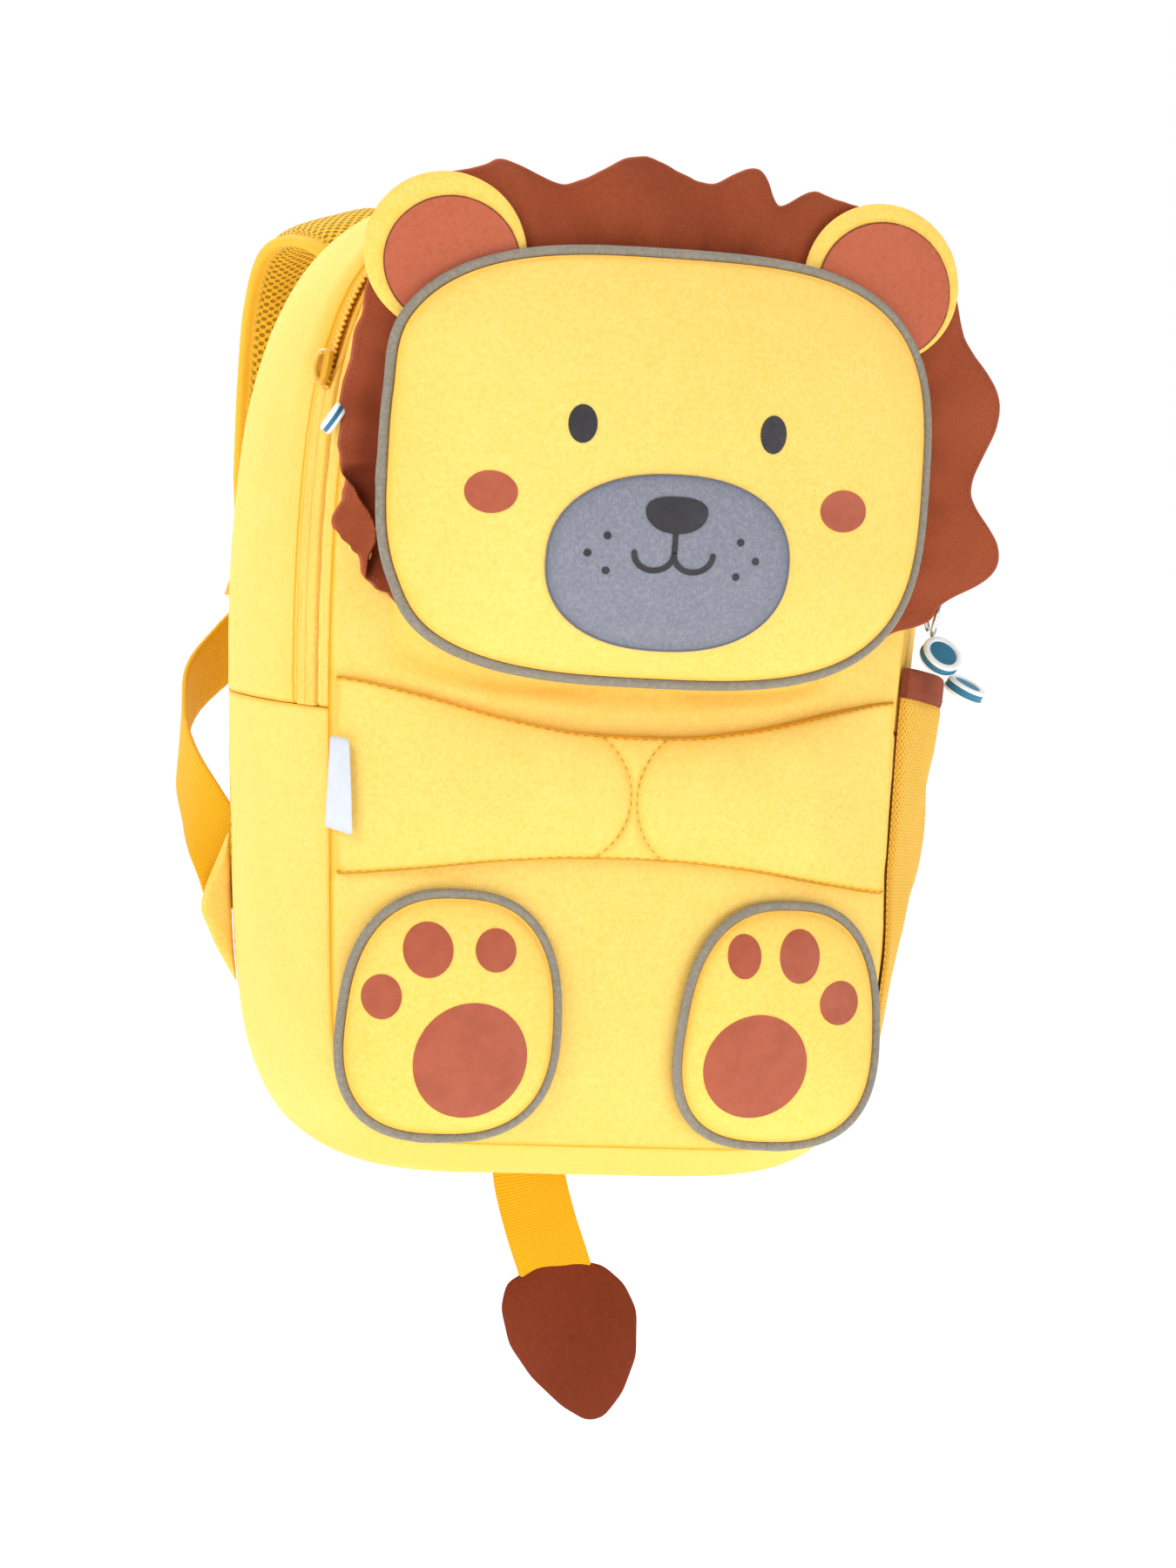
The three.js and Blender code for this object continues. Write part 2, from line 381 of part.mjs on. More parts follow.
// adjuster: a plain frame round the webbing just under the padded strap
for (const [side, sx] of [['left', -1], ['right', 1]]) {
  const fr = (w, h, r) => { const s = new THREE.Shape(); s.moveTo(-w + r, -h); s.lineTo(w - r, -h); s.lineTo(w, -h + r); s.lineTo(w, h - r); s.lineTo(w - r, h); s.lineTo(-w + r, h); s.lineTo(-w, h - r); s.lineTo(-w, -h + r); s.closePath(); return s; };
  const s = fr(14.5, 8.5, 2.5), hole = fr(11, 2.2, 0.4);
  s.holes.push(hole);
  const g = new THREE.ExtrudeGeometry(s, { depth: 6, bevelEnabled: false });
  g.translate(0, 0, -3);
  // its opening looks along the webbing
  const { c, t, n, b } = bandFrame(WEB, 0.1, -sx);
  g.applyMatrix4(new THREE.Matrix4().makeBasis(b, n, b.clone().cross(n)).setPosition(c));
  put(`adjuster_${side}`, g, C.plastic, 0.5);
}
// haul loop between the strap roots
// one leg, foot to crown: flat on the back panel, then leaning out and turning a quarter so that the crown's width lies front to back
const HAUL_LEG = [
  [-20, 1.6, 106, 0, 1, 0], [-20, 2.2, 115, 0, 1, -0.1], [-20.5, 7, 127, -0.3, 0.85, -0.4], [-21, 13, 137.5, -0.8, 0.5, -0.15], [-15, 17.5, 147.5, -0.7, 0.15, 0.7], [0, 19, 151.5, 0, 0.05, 1],
];
const haulRow = (r, s) => [s * r[0], r[1], r[2], s * r[3], r[4], r[5], WEB_W, 2];
const HAUL = [...HAUL_LEG.map((r) => haulRow(r, 1)), ...HAUL_LEG.slice(0, -1).reverse().map((r) => haulRow(r, -1))];
put('haul_loop', band(HAUL, 2, false), C.gold, 0.7);

// ---------- tail ----------
const TAIL = [[4, -4.5, -154.1, 0, -1, 0, TAIL_W, 2.4], [4.4, -7, -166, 0, -1, 0, TAIL_W, 2.4], [9, -8, -182, 0, -1, 0, TAIL_W, 2.4], [15.4, -8, -198.4, 0, -1, 0, TAIL_W, 2.4]];
put('tail_webbing', band(TAIL, 2, false), C.gold, 0.7);
{
  // tip: rounded at the webbing, drawn to a blunt point; across, down
  const TIP = [[-1, -202], [-2.5, -210], [1, -222], [9, -232.5], [20, -242], [28.5, -246.6], [34, -245.5], [40, -237], [43.8, -225], [43, -212], [38, -204], [31, -198.5], [22, -197.2], [9, -198.6]];
  const o = resample(new THREE.CatmullRomCurve3(TIP.map((p) => V(p[0], p[1], 0)), true, 'centripetal').getPoints(160).slice(0, -1).map((p) => [p.x, p.y]), 26, true);
  const tip = cushion(o, [21, -219], [1, 0.8], (x, z, s) => -8 - (s >= 1 ? 1.6 : 3.2), (x, z, s) => -8 + (s >= 1 ? 1.6 : 3.2), [1, 0.8]);
  const slot = solid(band([[13.5, -8, -193, 0, -1, 0, TAIL_W + 0.7, 3.1], [15.4, -8, -198.4, 0, -1, 0, TAIL_W + 0.7, 3.1], [16, -8, -200, 0, -1, 0, TAIL_W + 0.7, 3.1]], 1, false));
  put('tail_tip', toGeom(solid(tip).subtract(slot)), C.tip, 0.95);
}

// ---------- zip sliders and pulls ----------
// sets a piece, built with its outward side along +X and its length along Z, on the side of the bag
const onSide = (g, sx, y, z, lift) => {
  const P = (yy, zz) => V(sideX(yy, zz), yy, zz), ty = P(y + 3, z).sub(P(y - 3, z)).normalize(), tz = P(y, z + 3).sub(P(y, z - 3));
  const n = ty.clone().cross(tz).normalize(), up = n.clone().cross(ty).normalize(), c = P(y, z).addScaledVector(n, lift);
  g.applyMatrix4(new THREE.Matrix4().makeBasis(n, ty, up).setPosition(c));
  if (sx < 0) { g.scale(-1, 1, 1); const ix = g.index ? g.index.array : null; if (ix) for (let i = 0; i < ix.length; i += 3) [ix[i + 1], ix[i + 2]] = [ix[i + 2], ix[i + 1]]; }
  return g;
};
const closed = (g) => { const bare = new THREE.BufferGeometry(); bare.setAttribute('position', g.attributes.position.clone()); if (g.index) bare.setIndex(g.index.clone()); return mergeVertices(bare, 1e-4); };
const box = (w, d, h, bev = 0.5) => {
  const s = new THREE.Shape(); s.moveTo(-w / 2 + bev, -h / 2); s.lineTo(w / 2 - bev, -h / 2); s.lineTo(w / 2, -h / 2 + bev); s.lineTo(w / 2, h / 2 - bev); s.lineTo(w / 2 - bev, h / 2); s.lineTo(-w / 2 + bev, h / 2); s.lineTo(-w / 2, h / 2 - bev); s.lineTo(-w / 2, -h / 2 + bev); s.closePath();
  const g = new THREE.ExtrudeGeometry(s, { depth: d, bevelEnabled: false }); g.translate(0, 0, -d / 2); g.rotateX(Math.PI / 2); return g;   // w along x, d along y, h along z
};
for (const [side, sx, z] of [['left', -1, 91], ['right', 1, 33]]) put(`zip_slider_${side}`, onSide(closed(box(3, 7.5, 11, 1)), sx, -85, z, 2.9), C.metal, 0.35, 0.9);
const tag = (r, axis, at) => {   // round tag 4.4 thick, its axis and its middle
  const g = new THREE.CylinderGeometry(r, r, 4.4, 16);
  g.applyQuaternion(new THREE.Quaternion().setFromUnitVectors(V(0, 1, 0), V(...axis).normalize()));
  g.translate(...at);
  return closed(g);
};
put('zip_tag_left', tag(6.2, [-0.834, 0.134, 0.536], [-98.8, -98.5, 77.8]), C.blue, 0.45);
{
  const wire = new THREE.TorusGeometry(4.6, 0.8, 5, 14); wire.scale(0.8, 1.02, 1); wire.rotateX(Math.PI / 2); wire.rotateZ(Math.PI / 2);
  put('zip_ring_right', onSide(closed(wire), 1, -88, 25, 8), C.metal, 0.3, 0.95);
  // upper tag turned half to the front, lower one nearly edge on
  put('zip_tag_right', tag(6.4, [0.2, -0.719, 0.665], [104.9, -92, 12.6]), C.blue, 0.45);
  put('zip_tag_right_lower', tag(6.6, [0.34, -0.302, 0.891], [114.3, -90, 2.6]), C.blue, 0.45);
}
export default group;
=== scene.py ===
# Toddler's lion backpack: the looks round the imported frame. Shapes are worked out in millimetres, objects are in metres.
import bpy, bmesh, math
import numpy as np
from mathutils import Matrix, Vector


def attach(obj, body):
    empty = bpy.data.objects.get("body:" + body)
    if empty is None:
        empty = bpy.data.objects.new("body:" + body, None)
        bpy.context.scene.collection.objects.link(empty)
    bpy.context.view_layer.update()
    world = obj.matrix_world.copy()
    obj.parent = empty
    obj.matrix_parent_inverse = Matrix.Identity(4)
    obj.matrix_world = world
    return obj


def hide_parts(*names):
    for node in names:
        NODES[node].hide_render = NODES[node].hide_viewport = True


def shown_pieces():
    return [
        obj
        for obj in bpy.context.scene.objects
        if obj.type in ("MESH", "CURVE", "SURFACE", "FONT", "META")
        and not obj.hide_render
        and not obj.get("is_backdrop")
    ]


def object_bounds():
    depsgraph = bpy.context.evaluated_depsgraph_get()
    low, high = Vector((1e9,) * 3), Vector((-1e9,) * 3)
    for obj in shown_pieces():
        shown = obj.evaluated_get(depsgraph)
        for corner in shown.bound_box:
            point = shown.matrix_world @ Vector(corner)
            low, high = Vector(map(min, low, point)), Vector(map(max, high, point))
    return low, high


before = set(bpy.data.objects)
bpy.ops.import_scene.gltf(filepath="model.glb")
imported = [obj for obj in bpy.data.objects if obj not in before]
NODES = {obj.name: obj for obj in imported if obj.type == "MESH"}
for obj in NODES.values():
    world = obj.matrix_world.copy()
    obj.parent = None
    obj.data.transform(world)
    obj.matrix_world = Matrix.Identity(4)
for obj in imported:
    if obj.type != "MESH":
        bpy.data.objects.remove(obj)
CAD_BOX = [list(map(float, c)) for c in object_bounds()]
sc = bpy.context.scene
D2R = math.pi / 180

# ------------------------------------------------------------------ sizes shared with the construction
GAP, CLOTH, Y_SEAM, Y_BACK, Z_SPLIT = 0.3, 2.0, -95.0, -5.3, -12.0
ZIP0, ZIP1 = -89.0, -81.0
HEAD = dict(cz=66.6, a=87.8, b=65.0, n=3.2, y0=-130.0, side=15.0, tall=3.0, dome=12.0)
PIPE_R = 1.75
EARS = {"left": dict(x=-68.4, z=127.9, a=23.8, b=24.5, ix=-66.8, iz=125.1, r=19.8, ra=19.8), "right": dict(x=71.0, z=127.5, a=27.6, b=24.4, ix=71.2, iz=125.2, r=20.8, ra=23.4)}
FOOT = dict(z=-104.4, a=33.0, b=38.2, n=2.6, dome=10.0, egg=0.08)
FOOT_X = {-1: -51.4, 1: 54.8}
# y, half width, top, bottom, corner power at the top and at the bottom
SECTIONS = np.array([
    (-95, 94, 140, -145, 4.6, 7.5), (-89, 97, 143, -149.5, 4.4, 6.6), (-81, 100.5, 146, -154, 4.2, 6), (-62, 106.5, 149.5, -158.5, 3.75, 5.4),
    (-40, 109.5, 151, -159, 3.55, 5.2), (-20, 109, 150, -157, 3.45, 5.2), (-5.3, 105.5, 147, -153, 3.45, 5.2)], float)
# mane's edge: angle round the head's middle, distance from it
MANE_EDGE = np.array([(-37, 87), (-31, 95), (-22, 108), (-11, 125), (-1, 109.5), (11.5, 122), (24, 114), (36, 117), (50, 106), (60, 101), (66.2, 90.5), (73.2, 97), (82, 88.5), (95.7, 94.8), (110, 90), (121, 105),
                      (135, 113), (148, 104.5), (157, 100), (165, 97), (170.7, 96.4), (174.6, 95.2), (178.7, 95.6), (182, 94.6), (185, 93.6), (188.5, 94), (193.5, 97.3), (196, 96.8), (198.4, 94.6), (200.2, 92.4),
                      (203.2, 94), (206.5, 91.8), (209.3, 88.6), (213, 84)], float)
ARMS = np.array([(0, -15.8, -53.6), (20, -15.2, -54), (42, -11.6, -56), (66, -6, -59.6), (87.5, -2, -62.6)], float)   # half width position, upper edge, lower edge

# ------------------------------------------------------------------ maths
def smooth(t): t = np.clip(t, 0, 1); return t * t * (3 - 2 * t)
def mix(a, b, t): return a + (b - a) * t
def unit(v): return v / np.maximum(np.linalg.norm(v, axis=-1, keepdims=True), 1e-12)

def vnoise(p, seed=0):
    p = np.asarray(p, float); i = np.floor(p).astype(np.int64); f = p - i; u = f * f * (3 - 2 * f)
    def h(a, b, c):
        n = ((i[..., 0] + a) * 374761393 + (i[..., 1] + b) * 668265263 + (i[..., 2] + c) * 1442695041 + seed * 974634777) & 0xffffffff
        n = ((n ^ (n >> 13)) * 1274126177) & 0xffffffff
        return ((n ^ (n >> 16)) & 0xffff) / 32767.5 - 1.0
    x, y, z = u[..., 0], u[..., 1], u[..., 2]
    a = mix(mix(h(0, 0, 0), h(1, 0, 0), x), mix(h(0, 1, 0), h(1, 1, 0), x), y)
    b = mix(mix(h(0, 0, 1), h(1, 0, 1), x), mix(h(0, 1, 1), h(1, 1, 1), x), y)
    return mix(a, b, z)

def fbm(p, seed=0, octaves=3):
    p = np.asarray(p, float); s, a, t = 0, 1.0, 0.0
    for k in range(octaves):
        s = s + a * vnoise(p * 2.03 ** k + 17.3 * k, seed + k); t += a; a *= 0.5
    return s / t

def n1(s, seed=0, octaves=2):
    s = np.asarray(s, float); return fbm(np.stack([s, np.full_like(s, 0.37), np.full_like(s, 0.71)], -1), seed, octaves)

def taper(z): return 1 - 0.07 * smooth((40 - z) / 160)

def section(y):
    Y = SECTIONS[:, 0]; out = []
    i = int(np.clip(np.searchsorted(Y, y) - 1, 0, len(Y) - 2)); t = (y - Y[i]) / (Y[i + 1] - Y[i]); t = min(1.0, max(0.0, t)); h = Y[i + 1] - Y[i]
    for k in range(1, 6):
        v = SECTIONS[:, k]; d = np.gradient(v, Y)
        out.append((2 * t**3 - 3 * t**2 + 1) * v[i] + (t**3 - 2 * t**2 + t) * h * d[i] + (-2 * t**3 + 3 * t**2) * v[i + 1] + (t**3 - t**2) * h * d[i + 1])
    return out

def side_x(y, z):
    a, top, bot, nt, nb = section(y); b, n = (top, nt) if z >= 0 else (-bot, nb)
    return a * max(0.0, 1 - (abs(z) / b) ** n) ** (1 / n) * float(taper(z))

def outline(y, steps=2880):
    a, top, bot, nt, nb = section(y)
    f = -math.pi / 2 + np.arange(steps) / steps * 2 * math.pi; c, s = np.cos(f), np.sin(f)
    b = np.where(s >= 0, top, -bot); n = np.where(s >= 0, nt, nb)
    r = (np.abs(c / a) ** n + np.abs(s / b) ** n) ** (-1 / n); z = r * s
    return np.stack([r * c * taper(z), z], -1)

def resample(p, count, closed=False):
    p = np.vstack([p, p[:1]]) if closed else p
    L = np.concatenate([[0], np.cumsum(np.linalg.norm(np.diff(p, axis=0), axis=1))])
    w = np.linspace(0, L[-1], count + 1)[:-1] if closed else np.linspace(0, L[-1], count)
    return np.stack([np.interp(w, L, p[:, k]) for k in range(p.shape[1])], -1)

def arc(y, upper, cut, count):
    d = outline(y); n = len(d)
    keep = d[d[:, 1] > cut] if upper else np.roll(d, -n // 2, axis=0)[np.roll(d, -n // 2, axis=0)[:, 1] < cut]
    keep = keep.copy(); keep[0, 1] = cut; keep[-1, 1] = cut
    return resample(keep, count)

def normals2(p, closed=True):
    q = (np.roll(p, -1, 0) - np.roll(p, 1, 0)) if closed else np.gradient(p, axis=0)
    q = unit(q); return np.stack([q[:, 1], -q[:, 0]], -1)

def offset2(p, d, closed=True): return p + normals2(p, closed) * (d if np.isscalar(d) else np.asarray(d)[:, None])

def superell(cx, cz, a, b, n, count, egg=0.0):
    f = -math.pi / 2 + np.arange(1440) / 1440 * 2 * math.pi; c, s = np.cos(f), np.sin(f)
    r = (np.abs(c / a) ** n + np.abs(s / b) ** n) ** (-1 / n)
    return resample(np.stack([cx + r * c * (1 - egg * r * s / b), cz + r * s], -1), count, True)

def front_y(x, z):
    X, Z = np.clip(np.abs(x) / 93, 0, 1), np.clip(np.abs(z) / 143, 0, 1)
    return Y_SEAM - GAP - CLOTH - 14 * (1 - X**2.8) * (1 - Z**5)

def rim_y(x, z): return HEAD["y0"] + HEAD["side"] * (x / HEAD["a"]) ** 2 + HEAD["tall"] * ((z - HEAD["cz"]) / HEAD["b"]) ** 2

def head_s(x, z, inset=2.0):
    return ((np.abs(x) / (HEAD["a"] - inset)) ** HEAD["n"] + (np.abs(z - HEAD["cz"]) / (HEAD["b"] - inset)) ** HEAD["n"]) ** (1 / HEAD["n"])

def pts(x, y, z): return np.stack([x, y, z], -1)

def draw_in(p):
    """the right side's front is drawn in a little at the pocket's mouth"""
    p = np.array(p, float); x, y, z = p[..., 0], p[..., 1], p[..., 2]
    k = smooth((y + 95) / 50); low = 5.2 * smooth((mix(-52, -25, k) - z) / 35) * (1 - 0.45 * smooth((-z - 118) / 35))      # and its lower part stands out
    p[..., 0] = x - 3 * smooth((x - 40) / 50) * smooth((-50 - y) / 40) * np.exp(-(z / 45) ** 2) + low * mix(0.45, 1, k) * mix(smooth((x - 75) / 20), smooth((x - 30) / 60), k); return p
def head_shift(x, z): return 3.1 * smooth((110 - z) / 25) * smooth((z - 8) / 22) * smooth((-x - 45) / 40)
def head_in(p):
    """the head's left side is pushed in a little"""
    p = np.array(p, float); p[..., 0] = p[..., 0] + head_shift(p[..., 0], p[..., 2]); return p

def face_y(x, z):
    s = np.minimum(1, head_s(x, z))
    soft = 0.75 * fbm(pts(x / 30, 0 * x, z / 30), 5) + 0.14 * fbm(pts(x / 9, 0 * x, z / 9), 6)
    pucker = 0.30 * fbm(pts(x / 6, 0 * x, z / 6), 7, 2) * smooth((s - 0.86) / 0.14)
    return rim_y(x, z) - 1.4 - HEAD["dome"] * (1 - s**2.3) ** 0.66 - (soft * (1 - s**6) + pucker * (1 - s**12))

def foot_s(sx, x, z, inset=2.05):
    v = (z - FOOT["z"]) / (FOOT["b"] - inset); u = (x - FOOT_X[sx]) / (1 - FOOT["egg"] * v) / (FOOT["a"] - inset)
    return (np.abs(u) ** FOOT["n"] + np.abs(v) ** FOOT["n"]) ** (1 / FOOT["n"])

def foot_y(sx, x, z):
    s = np.minimum(1, foot_s(sx, x, z))
    return front_y(x, z) - 3.4 - FOOT["dome"] * 0.72 * (1 - s**2.6) ** 0.62 - 0.25 * fbm(pts(x / 22, 0 * x + sx, z / 22), 9) * (1 - s**8)

# ------------------------------------------------------------------ mesh maker
def lens_uv(P, cu, cv):
    Q = np.concatenate([P, P[:1]], 0) if cu else P
    Q = np.concatenate([Q, Q[:, :1]], 1) if cv else Q
    u = np.concatenate([np.zeros((1, Q.shape[1])), np.cumsum(np.linalg.norm(np.diff(Q, axis=0), axis=2), 0)], 0).mean(1)
    v = np.concatenate([np.zeros((Q.shape[0], 1)), np.cumsum(np.linalg.norm(np.diff(Q, axis=1), axis=2), 1)], 1).mean(0)
    return np.stack(np.meshgrid(u, v, indexing="ij"), -1)

class Piece:
    def __init__(s, drawn=False): s.V, s.F, s.U, s.M, s.S, s.n, s.drawn = [], [], [], [], [], 0, drawn
    def _pts(s, P, shade):
        P = head_in(P.reshape(-1, 3)) if s.drawn == "head" else draw_in(P.reshape(-1, 3)) if s.drawn else P.reshape(-1, 3); s.V.append(P); s.S.append(np.broadcast_to(np.asarray(shade, float).reshape(-1) if np.ndim(shade) else np.full(len(P), float(shade)), (len(P),)).copy()); k = s.n; s.n += len(P); return k
    def _faces(s, F, U, mat):
        s.F.append(F); s.U.append(U); s.M.append(np.broadcast_to(np.asarray(mat).reshape(-1) if np.ndim(mat) else mat, (len(F),)).copy())
    def grid(s, P, uv=None, cu=False, cv=False, mat=0, shade=0.0, caps=False):
        nu, nv = P.shape[:2]; uv = lens_uv(P, cu, cv) if uv is None else uv
        if isinstance(uv, str):
            Q = np.concatenate([P, P[:1]], 0) if cu else P; Q = np.concatenate([Q, Q[:, :1]], 1) if cv else Q; uv = Q[..., [0, 2]] if uv == "xz" else Q[..., [1, 2]]
        k = s._pts(P, shade); idx = k + np.arange(nu * nv).reshape(nu, nv)
        I = np.vstack([idx, idx[:1]]) if cu else idx; I = np.hstack([I, I[:, :1]]) if cv else I
        c = lambda A: np.stack([A[:-1, :-1], A[1:, :-1], A[1:, 1:], A[:-1, 1:]], 2)
        s._faces(c(I).reshape(-1, 4), c(uv).reshape(-1, 4, 2), mat)
        if caps:
            for row in (0, nu - 1):
                j = np.arange(nv // 2 - 1); q = idx[row]
                s._faces(np.stack([q[j], q[j + 1], q[nv - 2 - j], q[nv - 1 - j]], -1), np.stack([uv[row][j], uv[row][j + 1], uv[row][j + 1], uv[row][j]], 1), 0 if np.ndim(mat) else mat)
        return idx
    def shell(s, outer, inner, cu=False, mat=0, shade=0.0):
        P = np.concatenate([outer, inner[:, ::-1]], 1)
        sh = np.concatenate([shade, shade[:, ::-1]], 1) if np.ndim(shade) else shade
        return s.grid(P, cu=cu, cv=True, mat=mat, shade=sh, caps=not cu)
    def polar(s, P, p0, p1=None, mat=0, shade=0.0, planar=(0, 2), shade0=0.0):
        """Rings round a pole: P[angle, ring]; p0 closes before the first ring, p1 after the last."""
        nu, nr = P.shape[:2]; Q = np.concatenate([P, P[:1]], 0)[..., list(planar)]
        idx = s.grid(P, uv=Q, cu=True, mat=mat, shade=shade)
        for pole, ring in ((p0, 0), (p1, nr - 1)):
            if pole is None: continue
            k = s._pts(np.asarray(pole, float)[None], shade0); a = idx[:, ring]; b = np.roll(a, -1)
            uvp = np.asarray(pole, float)[list(planar)]
            s._faces(np.stack([a, b, np.full(nu, k)], -1), np.stack([Q[:-1, ring], Q[1:, ring], np.broadcast_to(uvp, (nu, 2))], 1), 0 if np.ndim(mat) else mat)
        return idx
    def make(s, name, mats, repl=(), angle=50, fix=True):
        me = bpy.data.meshes.new(name); V = np.concatenate(s.V) / 1000.0
        faces, uvs, mi = [], [], []
        for F, U, m in zip(s.F, s.U, s.M): faces += F.tolist(); uvs.append(U.reshape(-1, 2)); mi.append(m)
        me.from_pydata(V.tolist(), [], faces)
        uv = me.uv_layers.new(name="weave"); uv.data.foreach_set("uv", (np.concatenate(uvs) / 10.0).astype(np.float32).ravel())
        at = me.attributes.new("shade", "FLOAT", "POINT"); at.data.foreach_set("value", np.concatenate(s.S).astype(np.float32))
        for m in (mats if isinstance(mats, (list, tuple)) else [mats]): me.materials.append(m)
        me.polygons.foreach_set("material_index", np.concatenate(mi).astype(np.int32))
        if fix:
            bm = bmesh.new(); bm.from_mesh(me); bmesh.ops.recalc_face_normals(bm, faces=bm.faces); bm.to_mesh(me); bm.free()
        me.update(); me.shade_smooth(); me.set_sharp_from_angle(angle=angle * D2R)
        ob = bpy.data.objects.new(name, me); sc.collection.objects.link(ob)
        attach(ob, "root")
        if repl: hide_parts(*repl)
        return ob

def edge_drop(d, r):
    d = np.clip(d, 0, r); return r - np.sqrt(np.maximum(0, r * r - (r - d) ** 2))

def edged(a, b, n, r=1.0):
    """samples from a to b with finer ones near both ends"""
    e = np.array([0, 0.12, 0.35, 0.7, 1.2, 2.0]) * r; s = 1 if b > a else -1
    return np.concatenate([a + s * e, np.linspace(a + s * 3.2 * r, b - s * 3.2 * r, n), (b - s * e)[::-1]])

# ------------------------------------------------------------------ materials
def lin(c):
    if isinstance(c, str): c = tuple(int(c[i:i + 2], 16) for i in (0, 2, 4))
    return tuple((v / 255 / 12.92 if v / 255 <= 0.04045 else ((v / 255 + 0.055) / 1.055) ** 2.4) for v in c) + (1.0,)

class Nodes:
    def __init__(s, name):
        s.mat = bpy.data.materials.new(name); s.mat.use_nodes = True; s.t = s.mat.node_tree; s.t.nodes.clear()
        s.out = s.t.nodes.new("ShaderNodeOutputMaterial"); s.bsdf = s.t.nodes.new("ShaderNodeBsdfPrincipled"); s.t.links.new(s.bsdf.outputs[0], s.out.inputs[0])
        s.uv = s.t.nodes.new("ShaderNodeUVMap"); s.uv.uv_map = "weave"
        s.obj = s.t.nodes.new("ShaderNodeTexCoord").outputs["Object"]
        s.sep = s.t.nodes.new("ShaderNodeSeparateXYZ"); s.t.links.new(s.uv.outputs[0], s.sep.inputs[0])
        s.u, s.v = s.sep.outputs[0], s.sep.outputs[1]
    def put(s, sock, val):
        if isinstance(val, bpy.types.NodeSocket): s.t.links.new(val, sock)
        else: sock.default_value = val
    def m(s, op, a, b=0.0, c=0.0):
        n = s.t.nodes.new("ShaderNodeMath"); n.operation = op
        for k, v in enumerate((a, b, c)): s.put(n.inputs[k], v)
        return n.outputs[0]
    def noise(s, scale, detail=2.0, rough=0.5, vec=None, dist=0.0):
        n = s.t.nodes.new("ShaderNodeTexNoise"); s.t.links.new(vec or s.obj, n.inputs["Vector"])
        n.inputs["Scale"].default_value = scale; n.inputs["Detail"].default_value = detail; n.inputs["Roughness"].default_value = rough; n.inputs["Distortion"].default_value = dist
        return n.outputs[0]
    def mixc(s, f, a, b, kind="MIX"):
        n = s.t.nodes.new("ShaderNodeMix"); n.data_type = "RGBA"; n.blend_type = kind; n.clamp_factor = True
        s.put(n.inputs[0], f); s.put(n.inputs[6], a); s.put(n.inputs[7], b); return n.outputs[2]
    def ramp(s, f, lo, hi, a=0.0, b=1.0):
        n = s.t.nodes.new("ShaderNodeMapRange"); n.clamp = True; n.interpolation_type = "SMOOTHSTEP"
        for k, v in enumerate((f, lo, hi, a, b)): s.put(n.inputs[k], v)
        return n.outputs[0]
    def attr(s, name="shade"):
        n = s.t.nodes.new("ShaderNodeAttribute"); n.attribute_name = name; return n.outputs["Fac"]
    def bump(s, h, dist, strength=1.0, under=None):
        n = s.t.nodes.new("ShaderNodeBump"); n.inputs["Strength"].default_value = strength; n.inputs["Distance"].default_value = dist; s.t.links.new(h, n.inputs["Height"])
        if under is not None: s.t.links.new(under, n.inputs["Normal"])
        return n.outputs[0]
    def done(s, color, rough, normal=None, sheen=0.0, spec=0.3, metal=0.0, tint=(1, 1, 1, 1), sheen_rough=0.5, coat=0.0):
        b = s.bsdf.inputs; s.put(b["Base Color"], color); s.put(b["Roughness"], rough)
        b["Sheen Weight"].default_value = sheen; b["Sheen Roughness"].default_value = sheen_rough; b["Sheen Tint"].default_value = tint
        b["Specular IOR Level"].default_value = spec; b["Metallic"].default_value = metal; b["Coat Weight"].default_value = coat
        if normal is not None: s.t.links.new(normal, b["Normal"])
        return s.mat

TAU = 2 * math.pi

def woven(name, rgb, deep, pitch=0.1, depth=0.00012, sheen=0.12, rough=0.82, var=0.12, light=None, spec=0.2, line=None):
    """plain weave; pitch in cm; deep is the darker tone of the weave and mottle and also the painted shade in seams,
    creases and hollows; line is the darker seam and topstitch line, partly painted shade in the seam creases
    """
    k = Nodes(name)
    su, sv = k.m("SINE", k.m("MULTIPLY", k.u, TAU / pitch)), k.m("SINE", k.m("MULTIPLY", k.v, TAU / pitch))
    w = k.m("MULTIPLY_ADD", k.m("MULTIPLY", su, sv), 0.5, 0.5)
    slub = k.noise(900, 3, 0.6)
    cloud = k.noise(16, 3, 0.55)
    c = k.mixc(k.ramp(cloud, 0.3, 0.72, 0, var), lin(rgb), lin(deep))
    c = k.mixc(k.ramp(k.noise(75, 3, 0.6), 0.35, 0.7, 0, var * 0.5), c, lin(deep))
    c = k.mixc(k.m("MULTIPLY", k.m("SUBTRACT", 1.0, w), 0.30), c, lin(deep))
    c = k.mixc(k.ramp(slub, 0.4, 0.66, 0.0, 0.30), c, lin(light or rgb))
    c = k.mixc(k.ramp(k.noise(520, 3, 0.7), 0.45, 0.75, 0.0, 0.22), c, lin(deep))
    # painted shade: the shade attribute darkens towards deep in seams, creases, hollows and under the head, and past 1
    # towards the line colour along the seams
    c = k.mixc(k.m("MINIMUM", k.attr(), 1.0), c, lin(deep))
    c = k.mixc(k.m("SUBTRACT", k.attr(), 1.0), c, lin(line or deep))
    r = k.ramp(slub, 0.3, 0.7, rough - 0.06, min(1.0, rough + 0.08))
    n = k.bump(k.noise(260, 2), 0.00025, 0.35)
    n = k.bump(k.m("MULTIPLY_ADD", slub, 0.35, w), depth, 0.8, n)
    return k.done(c, r, n, sheen=sheen, spec=spec, sheen_rough=0.45, tint=lin(light or rgb))

